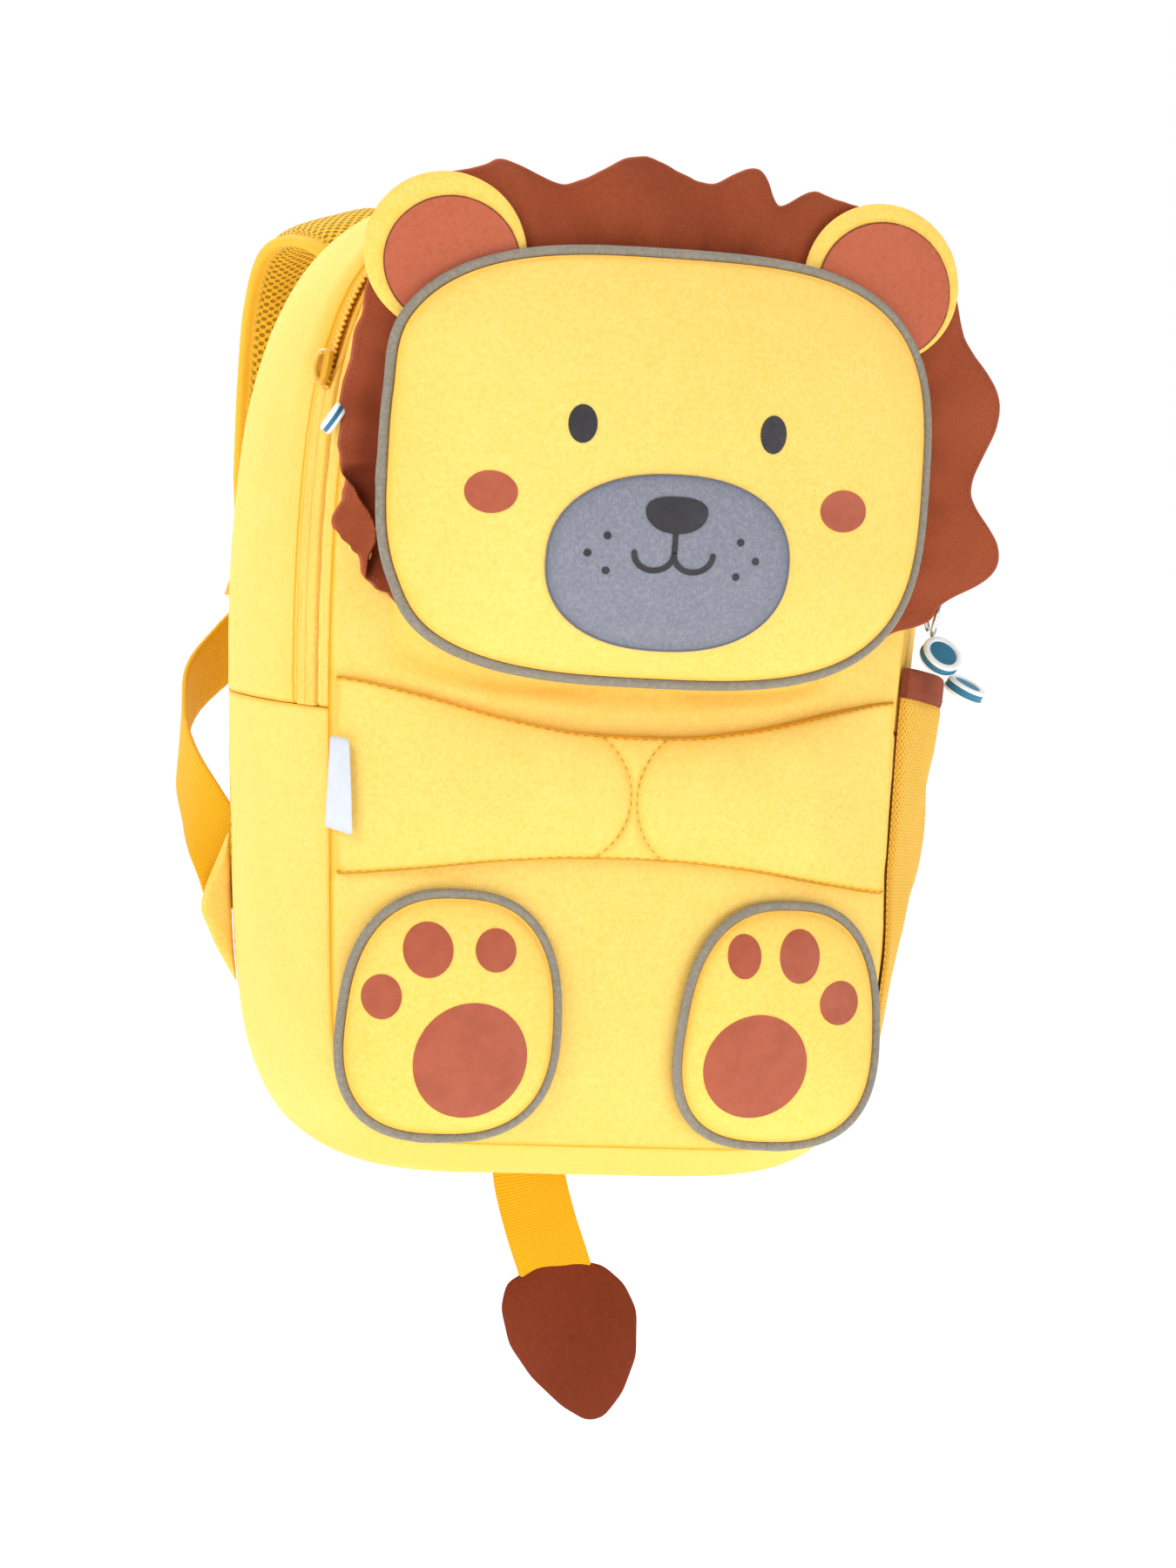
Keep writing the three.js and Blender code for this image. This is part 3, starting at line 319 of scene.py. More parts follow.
def ribbed(name, rgb, deep, across=0.135, along=0.11, depth=0.0003, rough=0.6, sheen=0.15):
    """webbing: u runs along the band, v across it; fine cords lie side by side along it"""
    k = Nodes(name)
    col = k.m("MULTIPLY", k.v, 1 / across); cell = k.m("FLOOR", col)
    rib = k.m("ABSOLUTE", k.m("SINE", k.m("MULTIPLY", col, math.pi)))
    ph = k.m("MULTIPLY", k.m("MODULO", cell, 2.0), math.pi)
    tw = k.m("MULTIPLY_ADD", k.m("SINE", k.m("ADD", k.m("MULTIPLY", k.u, TAU / along), ph)), 0.5, 0.5)
    row = k.m("ABSOLUTE", k.m("SINE", k.m("MULTIPLY", k.u, math.pi / along)))      # cross ribs, stronger than the cords
    h = k.m("MULTIPLY", k.m("MULTIPLY_ADD", k.m("POWER", rib, 0.6), 0.35, 0.65), k.m("MULTIPLY_ADD", k.m("POWER", row, 0.7), 0.75, k.m("MULTIPLY", tw, 0.25)))
    c = k.mixc(k.m("MULTIPLY", k.m("SUBTRACT", 1.0, h), 0.75), lin(rgb), lin(deep))
    c = k.mixc(k.ramp(k.noise(30, 3), 0.35, 0.7, 0, 0.14), c, lin(deep))
    # painted shade from the shade attribute, towards the darker tone
    c = k.mixc(k.attr(), c, lin(deep))
    n = k.bump(h, depth, 1.0)
    n = k.bump(k.noise(1600, 2), 0.00005, 0.4, n)
    return k.done(c, k.ramp(k.noise(700, 2), 0.3, 0.7, rough - 0.08, rough + 0.1), n, sheen=sheen, spec=0.2, tint=lin(rgb))

def felt(name, rgb, deep, light, depth=0.0004):
    k = Nodes(name)
    a, b, big = k.noise(2600, 4, 0.75), k.noise(900, 3, 0.65), k.noise(22, 3, 0.5)
    c = k.mixc(k.ramp(big, 0.3, 0.75, 0, 0.30), lin(rgb), lin(deep))
    c = k.mixc(k.ramp(b, 0.42, 0.72, 0, 0.22), c, lin(light))
    c = k.mixc(k.ramp(a, 0.45, 0.8, 0, 0.30), c, lin(deep))
    # painted shade from the shade attribute, towards the darker tone
    c = k.mixc(k.attr(), c, lin(deep))
    n = k.bump(b, depth, 0.45); n = k.bump(a, depth * 0.5, 0.7, n)
    return k.done(c, 0.95, n, sheen=0.45, spec=0.06, tint=lin(light), sheen_rough=0.55)

def netting(name, rgb, deep, pitch=0.30, depth=0.0009, hole=0.55, rough=0.75):
    """knitted mesh: staggered round holes"""
    k = Nodes(name)
    a = k.m("COSINE", k.m("MULTIPLY", k.m("ADD", k.u, k.v), TAU / pitch)); b = k.m("COSINE", k.m("MULTIPLY", k.m("SUBTRACT", k.u, k.v), TAU / pitch))
    f = k.m("MULTIPLY_ADD", k.m("ADD", a, b), 0.25, 0.5)
    o = k.ramp(f, hole, hole + 0.28)
    fine = k.m("MULTIPLY_ADD", k.m("SINE", k.m("MULTIPLY", k.u, TAU / 0.05)), 0.5, 0.5)
    c = k.mixc(k.ramp(k.noise(24, 3), 0.3, 0.75, 0, 0.16), lin(rgb), lin(deep))
    # holes take the deep colour: the mesh's darker inner layer, partly painted shade seen through them; the shade
    # attribute then adds painted shade in seams and grooves
    c = k.mixc(o, c, lin(deep))
    c = k.mixc(k.attr(), c, lin(deep))
    h = k.m("ADD", k.m("SUBTRACT", 1.0, o), k.m("MULTIPLY", fine, 0.08))
    n = k.bump(h, depth, 0.9)
    return k.done(c, rough, n, sheen=0.1, spec=0.2, tint=lin(rgb))

def printed(name, rgb, rgb2, rough=0.55):
    """screen print lying on woven cloth"""
    k = Nodes(name); pitch = 0.08
    w = k.m("MULTIPLY", k.m("SINE", k.m("MULTIPLY", k.u, TAU / pitch)), k.m("SINE", k.m("MULTIPLY", k.v, TAU / pitch)))
    c = k.mixc(k.ramp(k.noise(120, 4, 0.6), 0.35, 0.75, 0, 0.5), lin(rgb), lin(rgb2))
    n = k.bump(k.m("MULTIPLY_ADD", k.noise(900, 3), 0.5, k.m("MULTIPLY", w, 0.4)), 0.00006, 0.7)
    return k.done(c, k.ramp(k.noise(500, 2), 0.3, 0.7, rough - 0.08, rough + 0.1), n, spec=0.3, sheen=0.05)

def moulded(name, rgb, rgb2, rough=0.4, spec=0.5, grain=900, depth=0.00003, coat=0.0):
    k = Nodes(name)
    # the second colour is a random tone and also takes the painted shade from the shade attribute
    c = k.mixc(k.ramp(k.noise(70, 4, 0.6), 0.3, 0.75, 0, 0.6), lin(rgb), lin(rgb2)); c = k.mixc(k.attr(), c, lin(rgb2))
    return k.done(c, k.ramp(k.noise(240, 3), 0.3, 0.75, rough - 0.07, rough + 0.12), k.bump(k.noise(grain, 3), depth, 0.6), spec=spec, coat=coat)

def metal(name, rgb, rgb2, rough=0.18):
    k = Nodes(name)
    c = k.mixc(k.ramp(k.noise(150, 4, 0.6), 0.3, 0.75, 0, 0.7), lin(rgb), lin(rgb2))
    return k.done(c, k.ramp(k.noise(320, 4), 0.35, 0.75, rough - 0.05, rough + 0.16), k.bump(k.noise(700, 3), 0.00002, 0.5), metal=1.0, spec=0.5)

def thread(name, rgb, rgb2):
    k = Nodes(name)
    tw = k.m("MULTIPLY_ADD", k.m("SINE", k.m("MULTIPLY", k.m("ADD", k.u, k.v), TAU / 0.05)), 0.5, 0.5)
    c = k.mixc(k.m("MULTIPLY", tw, 0.5), lin(rgb), lin(rgb2))
    return k.done(c, 0.55, k.bump(tw, 0.0001, 0.7), sheen=0.1, spec=0.35)

YEL, YEL_D, YEL_L = "f9d672", "efab1c", "ffe596"
MAT = dict(
    body=woven("cloth_yellow", YEL, YEL_D, light=YEL_L, line="8f6a20"),
    face=woven("cloth_face", "f9d674", YEL_D, light=YEL_L, line="8f6a20"),
    ear=woven("cloth_ear", "f8d66c", YEL_D, light=YEL_L, line="8f6a20"),
    terra=woven("cloth_terracotta", "c66a4c", "8a3c26", sheen=0.1, light="c97055"),
    grey=woven("cloth_grey", "868995", "5c5f69", sheen=0.15, light="a6a9b4", rough=0.7),
    pipe=woven("piping_taupe", "8f897c", "625c50", pitch=0.05, depth=0.00008, sheen=0.1, rough=0.6, light="b4a898"),
    binding=ribbed("binding_brown", "9c4c30", "6b2c18", across=0.08, along=0.07, depth=0.00012, rough=0.85, sheen=0.1),
    web=ribbed("webbing_gold", "f2b80c", "cf8a06", across=0.105, along=0.09, depth=0.0002),
    strapbind=ribbed("binding_gold", "f7c63c", "d99a14", across=0.08, along=0.07, depth=0.00012, rough=0.7),
    felt=felt("felt_brown", "9a4b2e", "6b2c18", "b4654a"),
    felt2=felt("felt_tip", "7a3622", "542213", "94492f"),
    pocket=netting("net_pocket", "f4c552", "dd9a22", pitch=0.2, depth=0.0004, hole=0.52),
    air=netting("air_mesh", "f2bd28", "a8760c", pitch=0.34, depth=0.0010, hole=0.52),
    tape=woven("zip_tape", "f8d268", "e2a013", pitch=0.06, depth=0.0001, light=YEL_L, line="8f6a20"),
    coil=moulded("zip_coil", "f7bd34", "d9950f", rough=0.45, spec=0.4),
    white=woven("label_white", "d8dde5", "b4bac6", pitch=0.045, depth=0.00004, sheen=0.1, var=0.2, light="dde1e8", rough=0.55),
    metal=metal("plated_metal", "d6d8da", "a9acb0"),
    rubber=moulded("rubber_blue", "1f7396", "175a78", rough=0.42, spec=0.45),
    rubberw=moulded("rubber_white", "f2f5f5", "dbe3e6", rough=0.45, spec=0.4),
    plastic=moulded("plastic_gold", "f0b41e", "dc9c10", rough=0.36),
    gilt=moulded("painted_gold", "e3a91f", "c48a12", rough=0.3, spec=0.6),
    ink=printed("print_dark", "2f2d31", "3d3c40"),
    inkterra=printed("print_terracotta", "ad573c", "94432b"),
    thr=thread("thread_yellow", "d2a336", "9a701c"),
    thrb=thread("thread_brown", "7a3a24", "5e2a18"),
    thrg=thread("thread_grey", "6c6f7a", "4d5058"),
    thro=thread("thread_olive", "c19a3c", "8f701f"),
    thrf=thread("thread_felt", "8a4229", "6b2f1b"),
    # lighter felt for the mane's rim: its cut edge, partly a painted highlight along the rim
    feltcut_highlight=felt("felt_cut_edge_highlight", "a9593f", "8c452e", "b96a50", depth=0.0002),
)

# ------------------------------------------------------------------ stitches, cords, bands, flat prints
def stitches(P, path, nrm, pitch=3.0, length=2.1, r=0.27, sink=0.05, mat=0):
    path = np.asarray(path, float); L = np.concatenate([[0], np.cumsum(np.linalg.norm(np.diff(path, axis=0), axis=1))])
    n = max(1, int(L[-1] / pitch)); c = (np.arange(n) + 0.5) / n * L[-1]
    at = lambda A, w: np.stack([np.interp(w, L, A[:, k]) for k in range(3)], -1)
    C, T = at(path, c), unit(at(path, np.minimum(L[-1], c + 0.6)) - at(path, np.maximum(0, c - 0.6)))
    N = np.asarray(nrm, float); N = np.broadcast_to(N, path.shape) if N.ndim == 1 else N
    N = at(N, c); N = unit(N - (N * T).sum(-1, keepdims=True) * T); B = np.cross(T, N)
    t = np.array([-1, -0.72, 0, 0.72, 1]) * length / 2; rad = r * np.array([0.3, 0.88, 1.02, 0.88, 0.3]); dip = -np.array([1.6, 0.5, 0, 0.5, 1.6]) * r
    f = np.arange(6) / 6 * TAU
    X = C[:, None, None] + T[:, None, None] * t[None, :, None, None] + B[:, None, None] * (rad[:, None] * np.cos(f))[None, :, :, None] + N[:, None, None] * ((rad[:, None] * np.sin(f)) * 0.8 + (dip + r * 0.55 - sink)[:, None])[None, :, :, None]
    for q in X: P.grid(q, cv=True, mat=mat)
    return P

def cord_loop(P, line, nrm, r, sides=12, mat=0, shade=0.0, flat=1.0):
    """closed cord: line (n,3), nrm the outward direction on it"""
    T = unit(np.roll(line, -1, 0) - np.roll(line, 1, 0)); N = unit(nrm - (nrm * T).sum(-1, keepdims=True) * T); B = np.cross(T, N)
    f = np.arange(sides) / sides * TAU; rr = np.broadcast_to(r, (len(line),))
    X = line[:, None] + N[:, None] * (np.cos(f)[None, :, None] * rr[:, None, None] * flat) + B[:, None] * (np.sin(f)[None, :, None] * rr[:, None, None])
    P.grid(X, cu=True, cv=True, mat=mat, shade=shade)

def tube(P, line, r, sides=10, up=(0, 0, 1), mat=0):
    """open cord with rounded ends"""
    line = np.asarray(line, float); T = unit(np.gradient(line, axis=0)); U = np.broadcast_to(np.asarray(up, float), T.shape); N = unit(U - (U * T).sum(-1, keepdims=True) * T); B = np.cross(T, N)
    rr = np.broadcast_to(r, (len(line),)).copy()
    f = np.arange(sides) / sides * TAU
    ring = lambda i, k, s: line[i] + T[i] * s + (N[i] * np.cos(f)[:, None] + B[i] * np.sin(f)[:, None]) * rr[i] * k
    rows = [ring(0, 0.02, -rr[0]), ring(0, 0.55, -rr[0] * 0.8), ring(0, 0.87, -rr[0] * 0.45)] + [ring(i, 1, 0) for i in range(len(line))] + [ring(-1, 0.87, rr[-1] * 0.45), ring(-1, 0.55, rr[-1] * 0.8), ring(-1, 0.02, rr[-1])]
    P.grid(np.array(rows), cv=True, mat=mat)

def blob(P, ring, centre, surf, lift=0.25, rings=7, mat=0):
    """flat print or patch round a centre: ring (n,2) in x, z; surf(x, z) is the cloth under it"""
    s = np.concatenate([np.linspace(0.12, 0.94, rings), [1.0]]); c = np.asarray(centre, float)
    q = c + (ring[:, None] - c) * s[None, :, None]
    y = surf(q[..., 0], q[..., 1]) - lift; top = pts(q[..., 0], y, q[..., 1])
    base = top[:, -1:].copy(); base[..., 1] += lift + 0.35
    X = np.concatenate([top, base], 1)
    P.polar(X, (c[0], float(surf(c[0:1], c[1:2])[0]) - lift, c[1]), (c[0], float(surf(c[0:1], c[1:2])[0]) + 0.35, c[1]), mat=mat)

def stroke(P, line, width, surf, lift=0.25, mat=0):
    """printed line of that width along line (n,2), round ends"""
    line = resample(np.asarray(line, float), 28); t = unit(np.gradient(line, axis=0)); nrm = np.stack([-t[:, 1], t[:, 0]], -1); w = width / 2
    ext = np.array([0.0, 0.25, 0.6]) * w
    head = [(line[0] - t[0] * (w - e), nrm[0], math.sqrt(max(0.0004, 1 - ((w - e) / w) ** 2)) * w) for e in ext]; tail = [(line[-1] + t[-1] * (w - e), nrm[-1], math.sqrt(max(0.0004, 1 - ((w - e) / w) ** 2)) * w) for e in ext[::-1]]
    rows = head + [(line[i], nrm[i], w) for i in range(len(line))] + tail
    k = np.array([-1, -0.6, 0, 0.6, 1])
    q = np.array([[p + m * ww * kk for kk in k] for p, m, ww in rows])
    y = surf(q[..., 0], q[..., 1]); top = pts(q[..., 0], y - lift, q[..., 1]); bot = pts(q[..., 0], y + 0.3, q[..., 1])
    P.shell(top, bot, mat=mat)

def band_frames(rows, count, mirror=1):
    """rows x, y, z, nx, ny, nz, width, thickness -> smooth centre line, frames and sizes"""
    R = np.array(rows, float); R[:, 0] *= mirror; R[:, 3] *= mirror
    p = R[:, :3]; seg = np.sqrt(np.linalg.norm(np.diff(p, axis=0), axis=1)); t = np.concatenate([[0], np.cumsum(seg)])
    d = np.gradient(p, t, axis=0)
    def herm(A, dA, w):
        i = np.clip(np.searchsorted(t, w) - 1, 0, len(t) - 2); h = (t[i + 1] - t[i]); f = (w - t[i]) / h; f = f[:, None]; h = h[:, None]
        return (2 * f**3 - 3 * f**2 + 1) * A[i] + (f**3 - 2 * f**2 + f) * h * dA[i] + (-2 * f**3 + 3 * f**2) * A[i + 1] + (f**3 - f**2) * h * dA[i + 1]
    w = np.linspace(0, t[-1], count * 4); c = herm(p, d, w); L = np.concatenate([[0], np.cumsum(np.linalg.norm(np.diff(c, axis=0), axis=1))])
    w = np.interp(np.linspace(0, L[-1], count), L, w); c = herm(p, d, w)
    N = unit(R[:, 3:6]); Nn = unit(herm(N, np.gradient(N, t, axis=0), w)); T = unit(np.gradient(c, axis=0))
    Nn = unit(Nn - (Nn * T).sum(-1, keepdims=True) * T)
    for _ in range(6):   # takes small kinks out of the twist
        Nn[1:-1] = (Nn[:-2] + Nn[1:-1] * 2 + Nn[2:]) / 4; Nn = unit(Nn - (Nn * T).sum(-1, keepdims=True) * T)
    B = np.cross(T, Nn)
    return c, T, Nn, B, np.interp(w, t, R[:, 6]) / 2, np.interp(w, t, R[:, 7]) / 2, np.linspace(0, L[-1], count)

def webbing(P, rows, count, mirror=1, mat=0, wave=0.0, seed=0, shade=0.0):
    c, T, N, B, w, h, L = band_frames(rows, count, mirror)
    k = np.array([-1, -0.985, -0.94, -0.7, -0.35, 0, 0.35, 0.7, 0.94, 0.985, 1]); e = np.array([0.35, 0.75, 1, 1, 1, 1, 1, 1, 1, 0.75, 0.35])
    lift = wave * n1(L / 14, seed)[:, None] * (1 - k**2 * 0.5)[None]
    X = lambda s: c[:, None] + B[:, None] * (k[None, :, None] * w[:, None, None]) + N[:, None] * ((s * e[None] * h[:, None] + lift)[..., None])
    top, bot = X(1), X(-1); P_all = np.concatenate([top, bot[:, ::-1]], 1)
    v = np.concatenate([k * w.mean(), (k * w.mean())[::-1], [k[0] * w.mean()]]); uv = np.stack(np.meshgrid(L, v, indexing="ij"), -1)
    P.grid(P_all, uv=uv, cv=True, mat=mat, caps=True, shade=shade)
    return c, T, N, B, w, h, L

# ------------------------------------------------------------------ body
def gusset(name, y0, y1, upper, cut, count, n_y, seed, repl=None, painted_extra_shade=None, mats=None, dip=None):
    ys = edged(y0, y1, n_y, 1.0)
    if upper and y1 > -20: ys = np.unique(np.concatenate([ys, -78.7 + np.array([-0.7, -0.35, 0, 0.35, 0.7])]))
    A = np.array([arc(y, upper, cut, count) for y in ys])                       # y, s, 2
    N = np.array([normals2(a, False) for a in A])
    S = np.concatenate([[0], np.cumsum(np.linalg.norm(np.diff(A[len(ys) // 2], axis=0), axis=1))])
    base = np.stack([A[..., 0], np.broadcast_to(ys[:, None], A.shape[:2]), A[..., 1]], -1)
    d0, d1 = np.abs(ys - y0), np.abs(ys - y1); d = np.minimum(d0, d1)[:, None]; de = np.minimum(S, S[-1] - S)[None]
    puck = (n1(S / 4.2, seed, 2)[None] * np.exp(-d0 / 4.5)[:, None] + n1(S / 4.6 + 40, seed + 1, 2)[None] * np.exp(-d1 / 4.5)[:, None]) * 0.30
    broad = 0.9 * fbm(base / 60, seed + 3, 2) * smooth(d / 16) * smooth(de / 20) + 0.22 * fbm(base / 15, seed + 4, 2) * smooth(d / 6)
    dz = -0.55 * np.exp(-(np.minimum(d0, d1)[:, None] / 1.8) ** 2)
    disp = puck + broad + dz - edge_drop(d, 0.9) - edge_drop(de, 0.9) * 0.6
    if dip is not None: disp = disp - dip(base, d0)
    off = lambda q: base + np.stack([N[..., 0] * q, 0 * q, N[..., 1] * q], -1)
    outer, inner = off(disp).transpose(1, 0, 2), off(np.full(disp.shape, -CLOTH)).transpose(1, 0, 2)
    # painted shade: dark lines at the seams and ends (weaker on the right), the topstitch at y -78.7 drawn as a dark
    # line, and darker towards the bottom underside
    sh = 1.2 * np.where(base[..., 0] > 60, 0.45, 1) * np.exp(-(d / 0.7) ** 2) + 0.8 * np.exp(-(de / 0.5) ** 2) + 0.12 * np.exp(-d / 5) + (1.25 * np.exp(-((base[..., 1] + 78.7) / 0.35) ** 2) if upper else 0)
    sh = sh + 0.35 * smooth((-base[..., 2] - 138) / 16)
    if painted_extra_shade is not None: sh = sh + painted_extra_shade(base, d0, d1)
    p = Piece(True); p.shell(outer, inner, shade=np.clip(sh, 0, 1.4).T)
    return p.make(name, mats or MAT["body"], repl or (name,)), base, off(disp), N, ys, S

g_low, gl_base, gl_surf, gl_N, gl_ys, gl_S = gusset("gusset_lower_cloth", Y_SEAM, Y_BACK, False, Z_SPLIT - GAP, 340, 36, 11, repl=("gusset_lower",))
g_uf, *_uf = gusset("gusset_upper_front_cloth", Y_SEAM, ZIP0 - GAP, True, Z_SPLIT, 340, 4, 21, repl=("gusset_upper_front",))
def open_zip(z, x, lo=None): return np.where(x < 0, smooth((z - 84) / 14), smooth((z - 26) / 14))
# painted shade in the valley beside the open zip coil, and faintly along the zip's edge
def painted_zip_shade(base, d0, d1): return 0.6 * np.exp(-(d0 / 6.5))[:, None] * open_zip(base[..., 2], base[..., 0]) + 0.10 * np.exp(-d0 / 10)[:, None]
g_ub, gu_base, gu_surf, gu_N, gu_ys, gu_S = gusset("gusset_upper_back_cloth", ZIP1 + GAP, Y_BACK, True, Z_SPLIT, 340, 32, 31, repl=("gusset_upper_back",), painted_extra_shade=painted_zip_shade,
    dip=lambda b, d0: 1.5 * np.exp(-(d0 / 3.4))[:, None] * open_zip(b[..., 2], b[..., 0]) - 0.5 * np.exp(-((d0 - 9) / 4) ** 2)[:, None])

# front panel: rings from the seam inwards
def flare(ang):
    """how far the head's side wall spreads past the rim where it meets the panel; it shows under the head only"""
    low = smooth((ang - 200) / 20) + (1 - smooth((ang + 49) / 16)) * (ang < 0)
    return mix(-5.6, 4.2 + 4.6 * np.exp(-((ang - 218) / 20) ** 2) + 0.8 * np.exp(-((ang - 318 + 360 * (ang < 0)) / 14) ** 2), np.clip(low, 0, 1))
def ang_of(x, z):
    a = np.degrees(np.arctan2(z - HEAD["cz"], x)); return np.where(a < -90, a + 360, a)
def foot_line(x, z):
    """signed distance (mm, about) outside the line where the head's side wall meets the panel"""
    a = ang_of(x, z) * D2R; c, s_ = np.cos(a), np.sin(a)
    r = (np.abs(c / HEAD["a"]) ** HEAD["n"] + np.abs(s_ / HEAD["b"]) ** HEAD["n"]) ** (-1 / HEAD["n"])
    return np.hypot(x, z - HEAD["cz"]) - r - flare(ang_of(x, z)) * 1.06
def panel_y(x, z):
    """front panel with its soft dents"""
    y = front_y(x, z); q = pts(x, 0 * x, z)
    y = y - 0.7 * fbm(q / 40, 41, 2) - 0.18 * fbm(q / 12, 42, 2)
    d = foot_line(x, z); below = smooth((10 - z) / 14)
    y = y + (1.3 * np.exp(-(d / 1.9) ** 2) - 1.0 * np.exp(-((d - 5.2) / 3.2) ** 2)) * below * smooth((93 - np.abs(x)) / 10)
    return y
out = resample(outline(Y_SEAM), 320, True)
k = np.concatenate([[0, 0.15, 0.4, 0.8, 1.4, 2.2, 3.4, 5.2], np.linspace(7, 88, 56)])
P = Piece(True)
ctr = np.array([0.0, -35.0]); rad = np.linalg.norm(out - ctr, axis=1)
inner_s = np.maximum(0.04, 1 - k[None] / rad.min() * 1.0)
ring = ctr + (out - ctr)[:, None] * inner_s[..., None]
dist = np.linalg.norm(ring - out[:, None], axis=2)
arc_s = np.concatenate([[0], np.cumsum(np.linalg.norm(np.diff(out, axis=0), axis=1))])
yy = panel_y(ring[..., 0], ring[..., 1]) + edge_drop(dist, 1.7) + 0.28 * n1(arc_s / 4.4, 45)[:, None] * np.exp(-dist / 5) + 0.6 * np.exp(-(dist / 2) ** 2)
top = pts(ring[..., 0], np.minimum(yy, Y_SEAM - 0.35), ring[..., 1]); back = pts(ring[..., 0], np.minimum(front_y(ring[..., 0], ring[..., 1]) + CLOTH, Y_SEAM - 0.3) + 0.0, ring[..., 1])
zc, xc = ring[..., 1], ring[..., 0]; fl_ = foot_line(xc, zc); below = smooth((14 - zc) / 14)
hi_, lo_ = np.interp(np.abs(xc), ARMS[:, 0], ARMS[:, 1]), np.interp(np.abs(xc), ARMS[:, 0], ARMS[:, 2])
# painted shade: the dark seam line at the panel's edge (weaker on the right), the crease and flare under the head's
# side wall, the arms panel's edges and darker towards the bottom
sh = 1.3 * np.where(xc > 70, 0.45, 1) * np.exp(-(dist / 0.8) ** 2) + 0.12 * np.exp(-dist / 6) + (0.30 * np.exp(-(fl_ / 1.3) ** 2) + 0.10 * np.exp(-np.abs(fl_) / 5)) * below
sh = sh + 0.35 * np.exp(-np.abs(zc - hi_) / 1.0) + 0.35 * np.exp(-np.abs(zc - lo_) / 1.0) + 0.08 * smooth((-zc - 120) / 20)
P.polar(np.concatenate([top[:, ::-1], back[:, ::8]], 1), (ctr[0], float(panel_y(ctr[0:1], ctr[1:2])[0]), ctr[1]), (ctr[0], float(front_y(0.0, -35.0)) + CLOTH, ctr[1]), shade=np.clip(np.concatenate([sh[:, ::-1], sh[:, ::8]], 1), 0, 1.5))
# the welt carries painted shade (0.5) where it shows in the seam's gap
welt = outline(Y_SEAM, 300); wn = normals2(welt); welt = offset2(welt, -0.95); cord_loop(P, pts(welt[:, 0], np.full(len(welt), Y_SEAM - 0.15), welt[:, 1]), pts(wn[:, 0], 0 * wn[:, 0], wn[:, 1]), 0.8, sides=8, shade=0.5)   # the seam's turned-in edge
front = P.make("front_panel_cloth", MAT["body"], ("front_panel",))

# zip: two cloth flaps that meet over it, open to the coil above the sliders
ZC = (ZIP0 + ZIP1) / 2
ys = np.unique(np.concatenate([edged(ZIP0, ZIP1, 5, 0.35), ZC + np.array([-3.2, -2.9, -2.6, -1.2, -0.9, -0.6, -0.35, -0.15, 0, 0.15, 0.35, 0.6, 0.9, 1.2, 2.6, 2.9, 3.2])]))
count = 430
A = np.array([arc(y, True, Z_SPLIT, count) for y in ys]); N = np.array([normals2(a, False) for a in A])
zz, xx = A[..., 1], A[..., 0]; openness = open_zip(zz, xx); Sz = np.concatenate([[0], np.cumsum(np.linalg.norm(np.diff(A[len(ys) // 2], axis=0), axis=1))])
half = 0.12 + 2.4 * openness; dc = np.abs((ys - ZC)[:, None] - 0.25 * n1(Sz / 12, 53)[None] * (1 - openness)); ed = np.minimum(np.abs(ys - ZIP0), np.abs(ys - ZIP1))[:, None]
flap = 0.35 * np.sqrt(np.clip((dc - half) / 0.8, 0, 1)) - 0.12 * np.exp(-((dc - half - 2.0) / 0.35) ** 2)
h = np.where(dc < half, mix(-0.35, -1.3, openness), -0.1 + flap) - 0.7 * edge_drop(ed, 0.7) - 0.9 * openness * smooth((dc - 1) / 3) + 0.14 * n1(Sz / 9, 52)[None]
base = np.stack([xx, np.broadcast_to(ys[:, None], xx.shape), zz], -1); off = lambda q: base + np.stack([N[..., 0] * q, 0 * q, N[..., 1] * q], -1)
# painted shade: dark centre where the flaps meet, dark lines where they fold (also real fold lines), the open coil area
# and the tape's edges
zsh = np.where(dc < half, mix(0.7, 0.9, openness), 0.2 * np.exp(-(dc - half) / 0.7)) + 1.15 * np.exp(-((dc - half - 2.0) / 0.3) ** 2) * (1 - openness) + 0.45 * openness + 0.3 * np.exp(-ed / 0.5)
P = Piece(True); P.shell(off(h).transpose(1, 0, 2), off(np.full(h.shape, -1.8)).transpose(1, 0, 2), shade=np.clip(zsh, 0, 1.3).T)
zip_tape = P.make("zip_tape", MAT["tape"], ("zip_main",))
mid = arc(ZC, True, Z_SPLIT, 2400); midN = normals2(mid, False); Sm = np.concatenate([[0], np.cumsum(np.linalg.norm(np.diff(mid, axis=0), axis=1))])
on = np.where(mid[:, 0] < 0, mid[:, 1] > 84, mid[:, 1] > 28); s0, s1 = Sm[on][0], Sm[on][-1]
P = Piece(True)
f = np.arange(8) / 8 * TAU
for row, dy in ((0, -0.95), (1, 0.95)):
    for c in np.arange(s0 + row * 0.9, s1, 1.8):
        p = np.array([np.interp(c, Sm, mid[:, 0]), np.interp(c, Sm, mid[:, 1])]); n = unit(np.array([np.interp(c, Sm, midN[:, 0]), np.interp(c, Sm, midN[:, 1])])); t = np.array([-n[1], n[0]])
        ends = np.array([-1, -0.93, -0.75, 0, 0.75, 0.93, 1]) * 1.75; rr = 0.6 * np.array([0.1, 0.6, 0.95, 1, 0.95, 0.6, 0.1]); bow = 0.35 * (1 - (ends / 1.75) ** 2)
        X = []
        for e, r_, b_ in zip(ends, rr, bow):
            cc = np.array([p[0] + n[0] * (b_ - 0.15), ZC + dy + e, p[1] + n[1] * (b_ - 0.15)])
            X.append(cc + np.outer(np.cos(f) * r_, [t[0], 0, t[1]]) + np.outer(np.sin(f) * r_, [n[0], 0, n[1]]))
        P.grid(np.array(X), cv=True)
coil = P.make("zip_coil_teeth", MAT["coil"], fix=False)

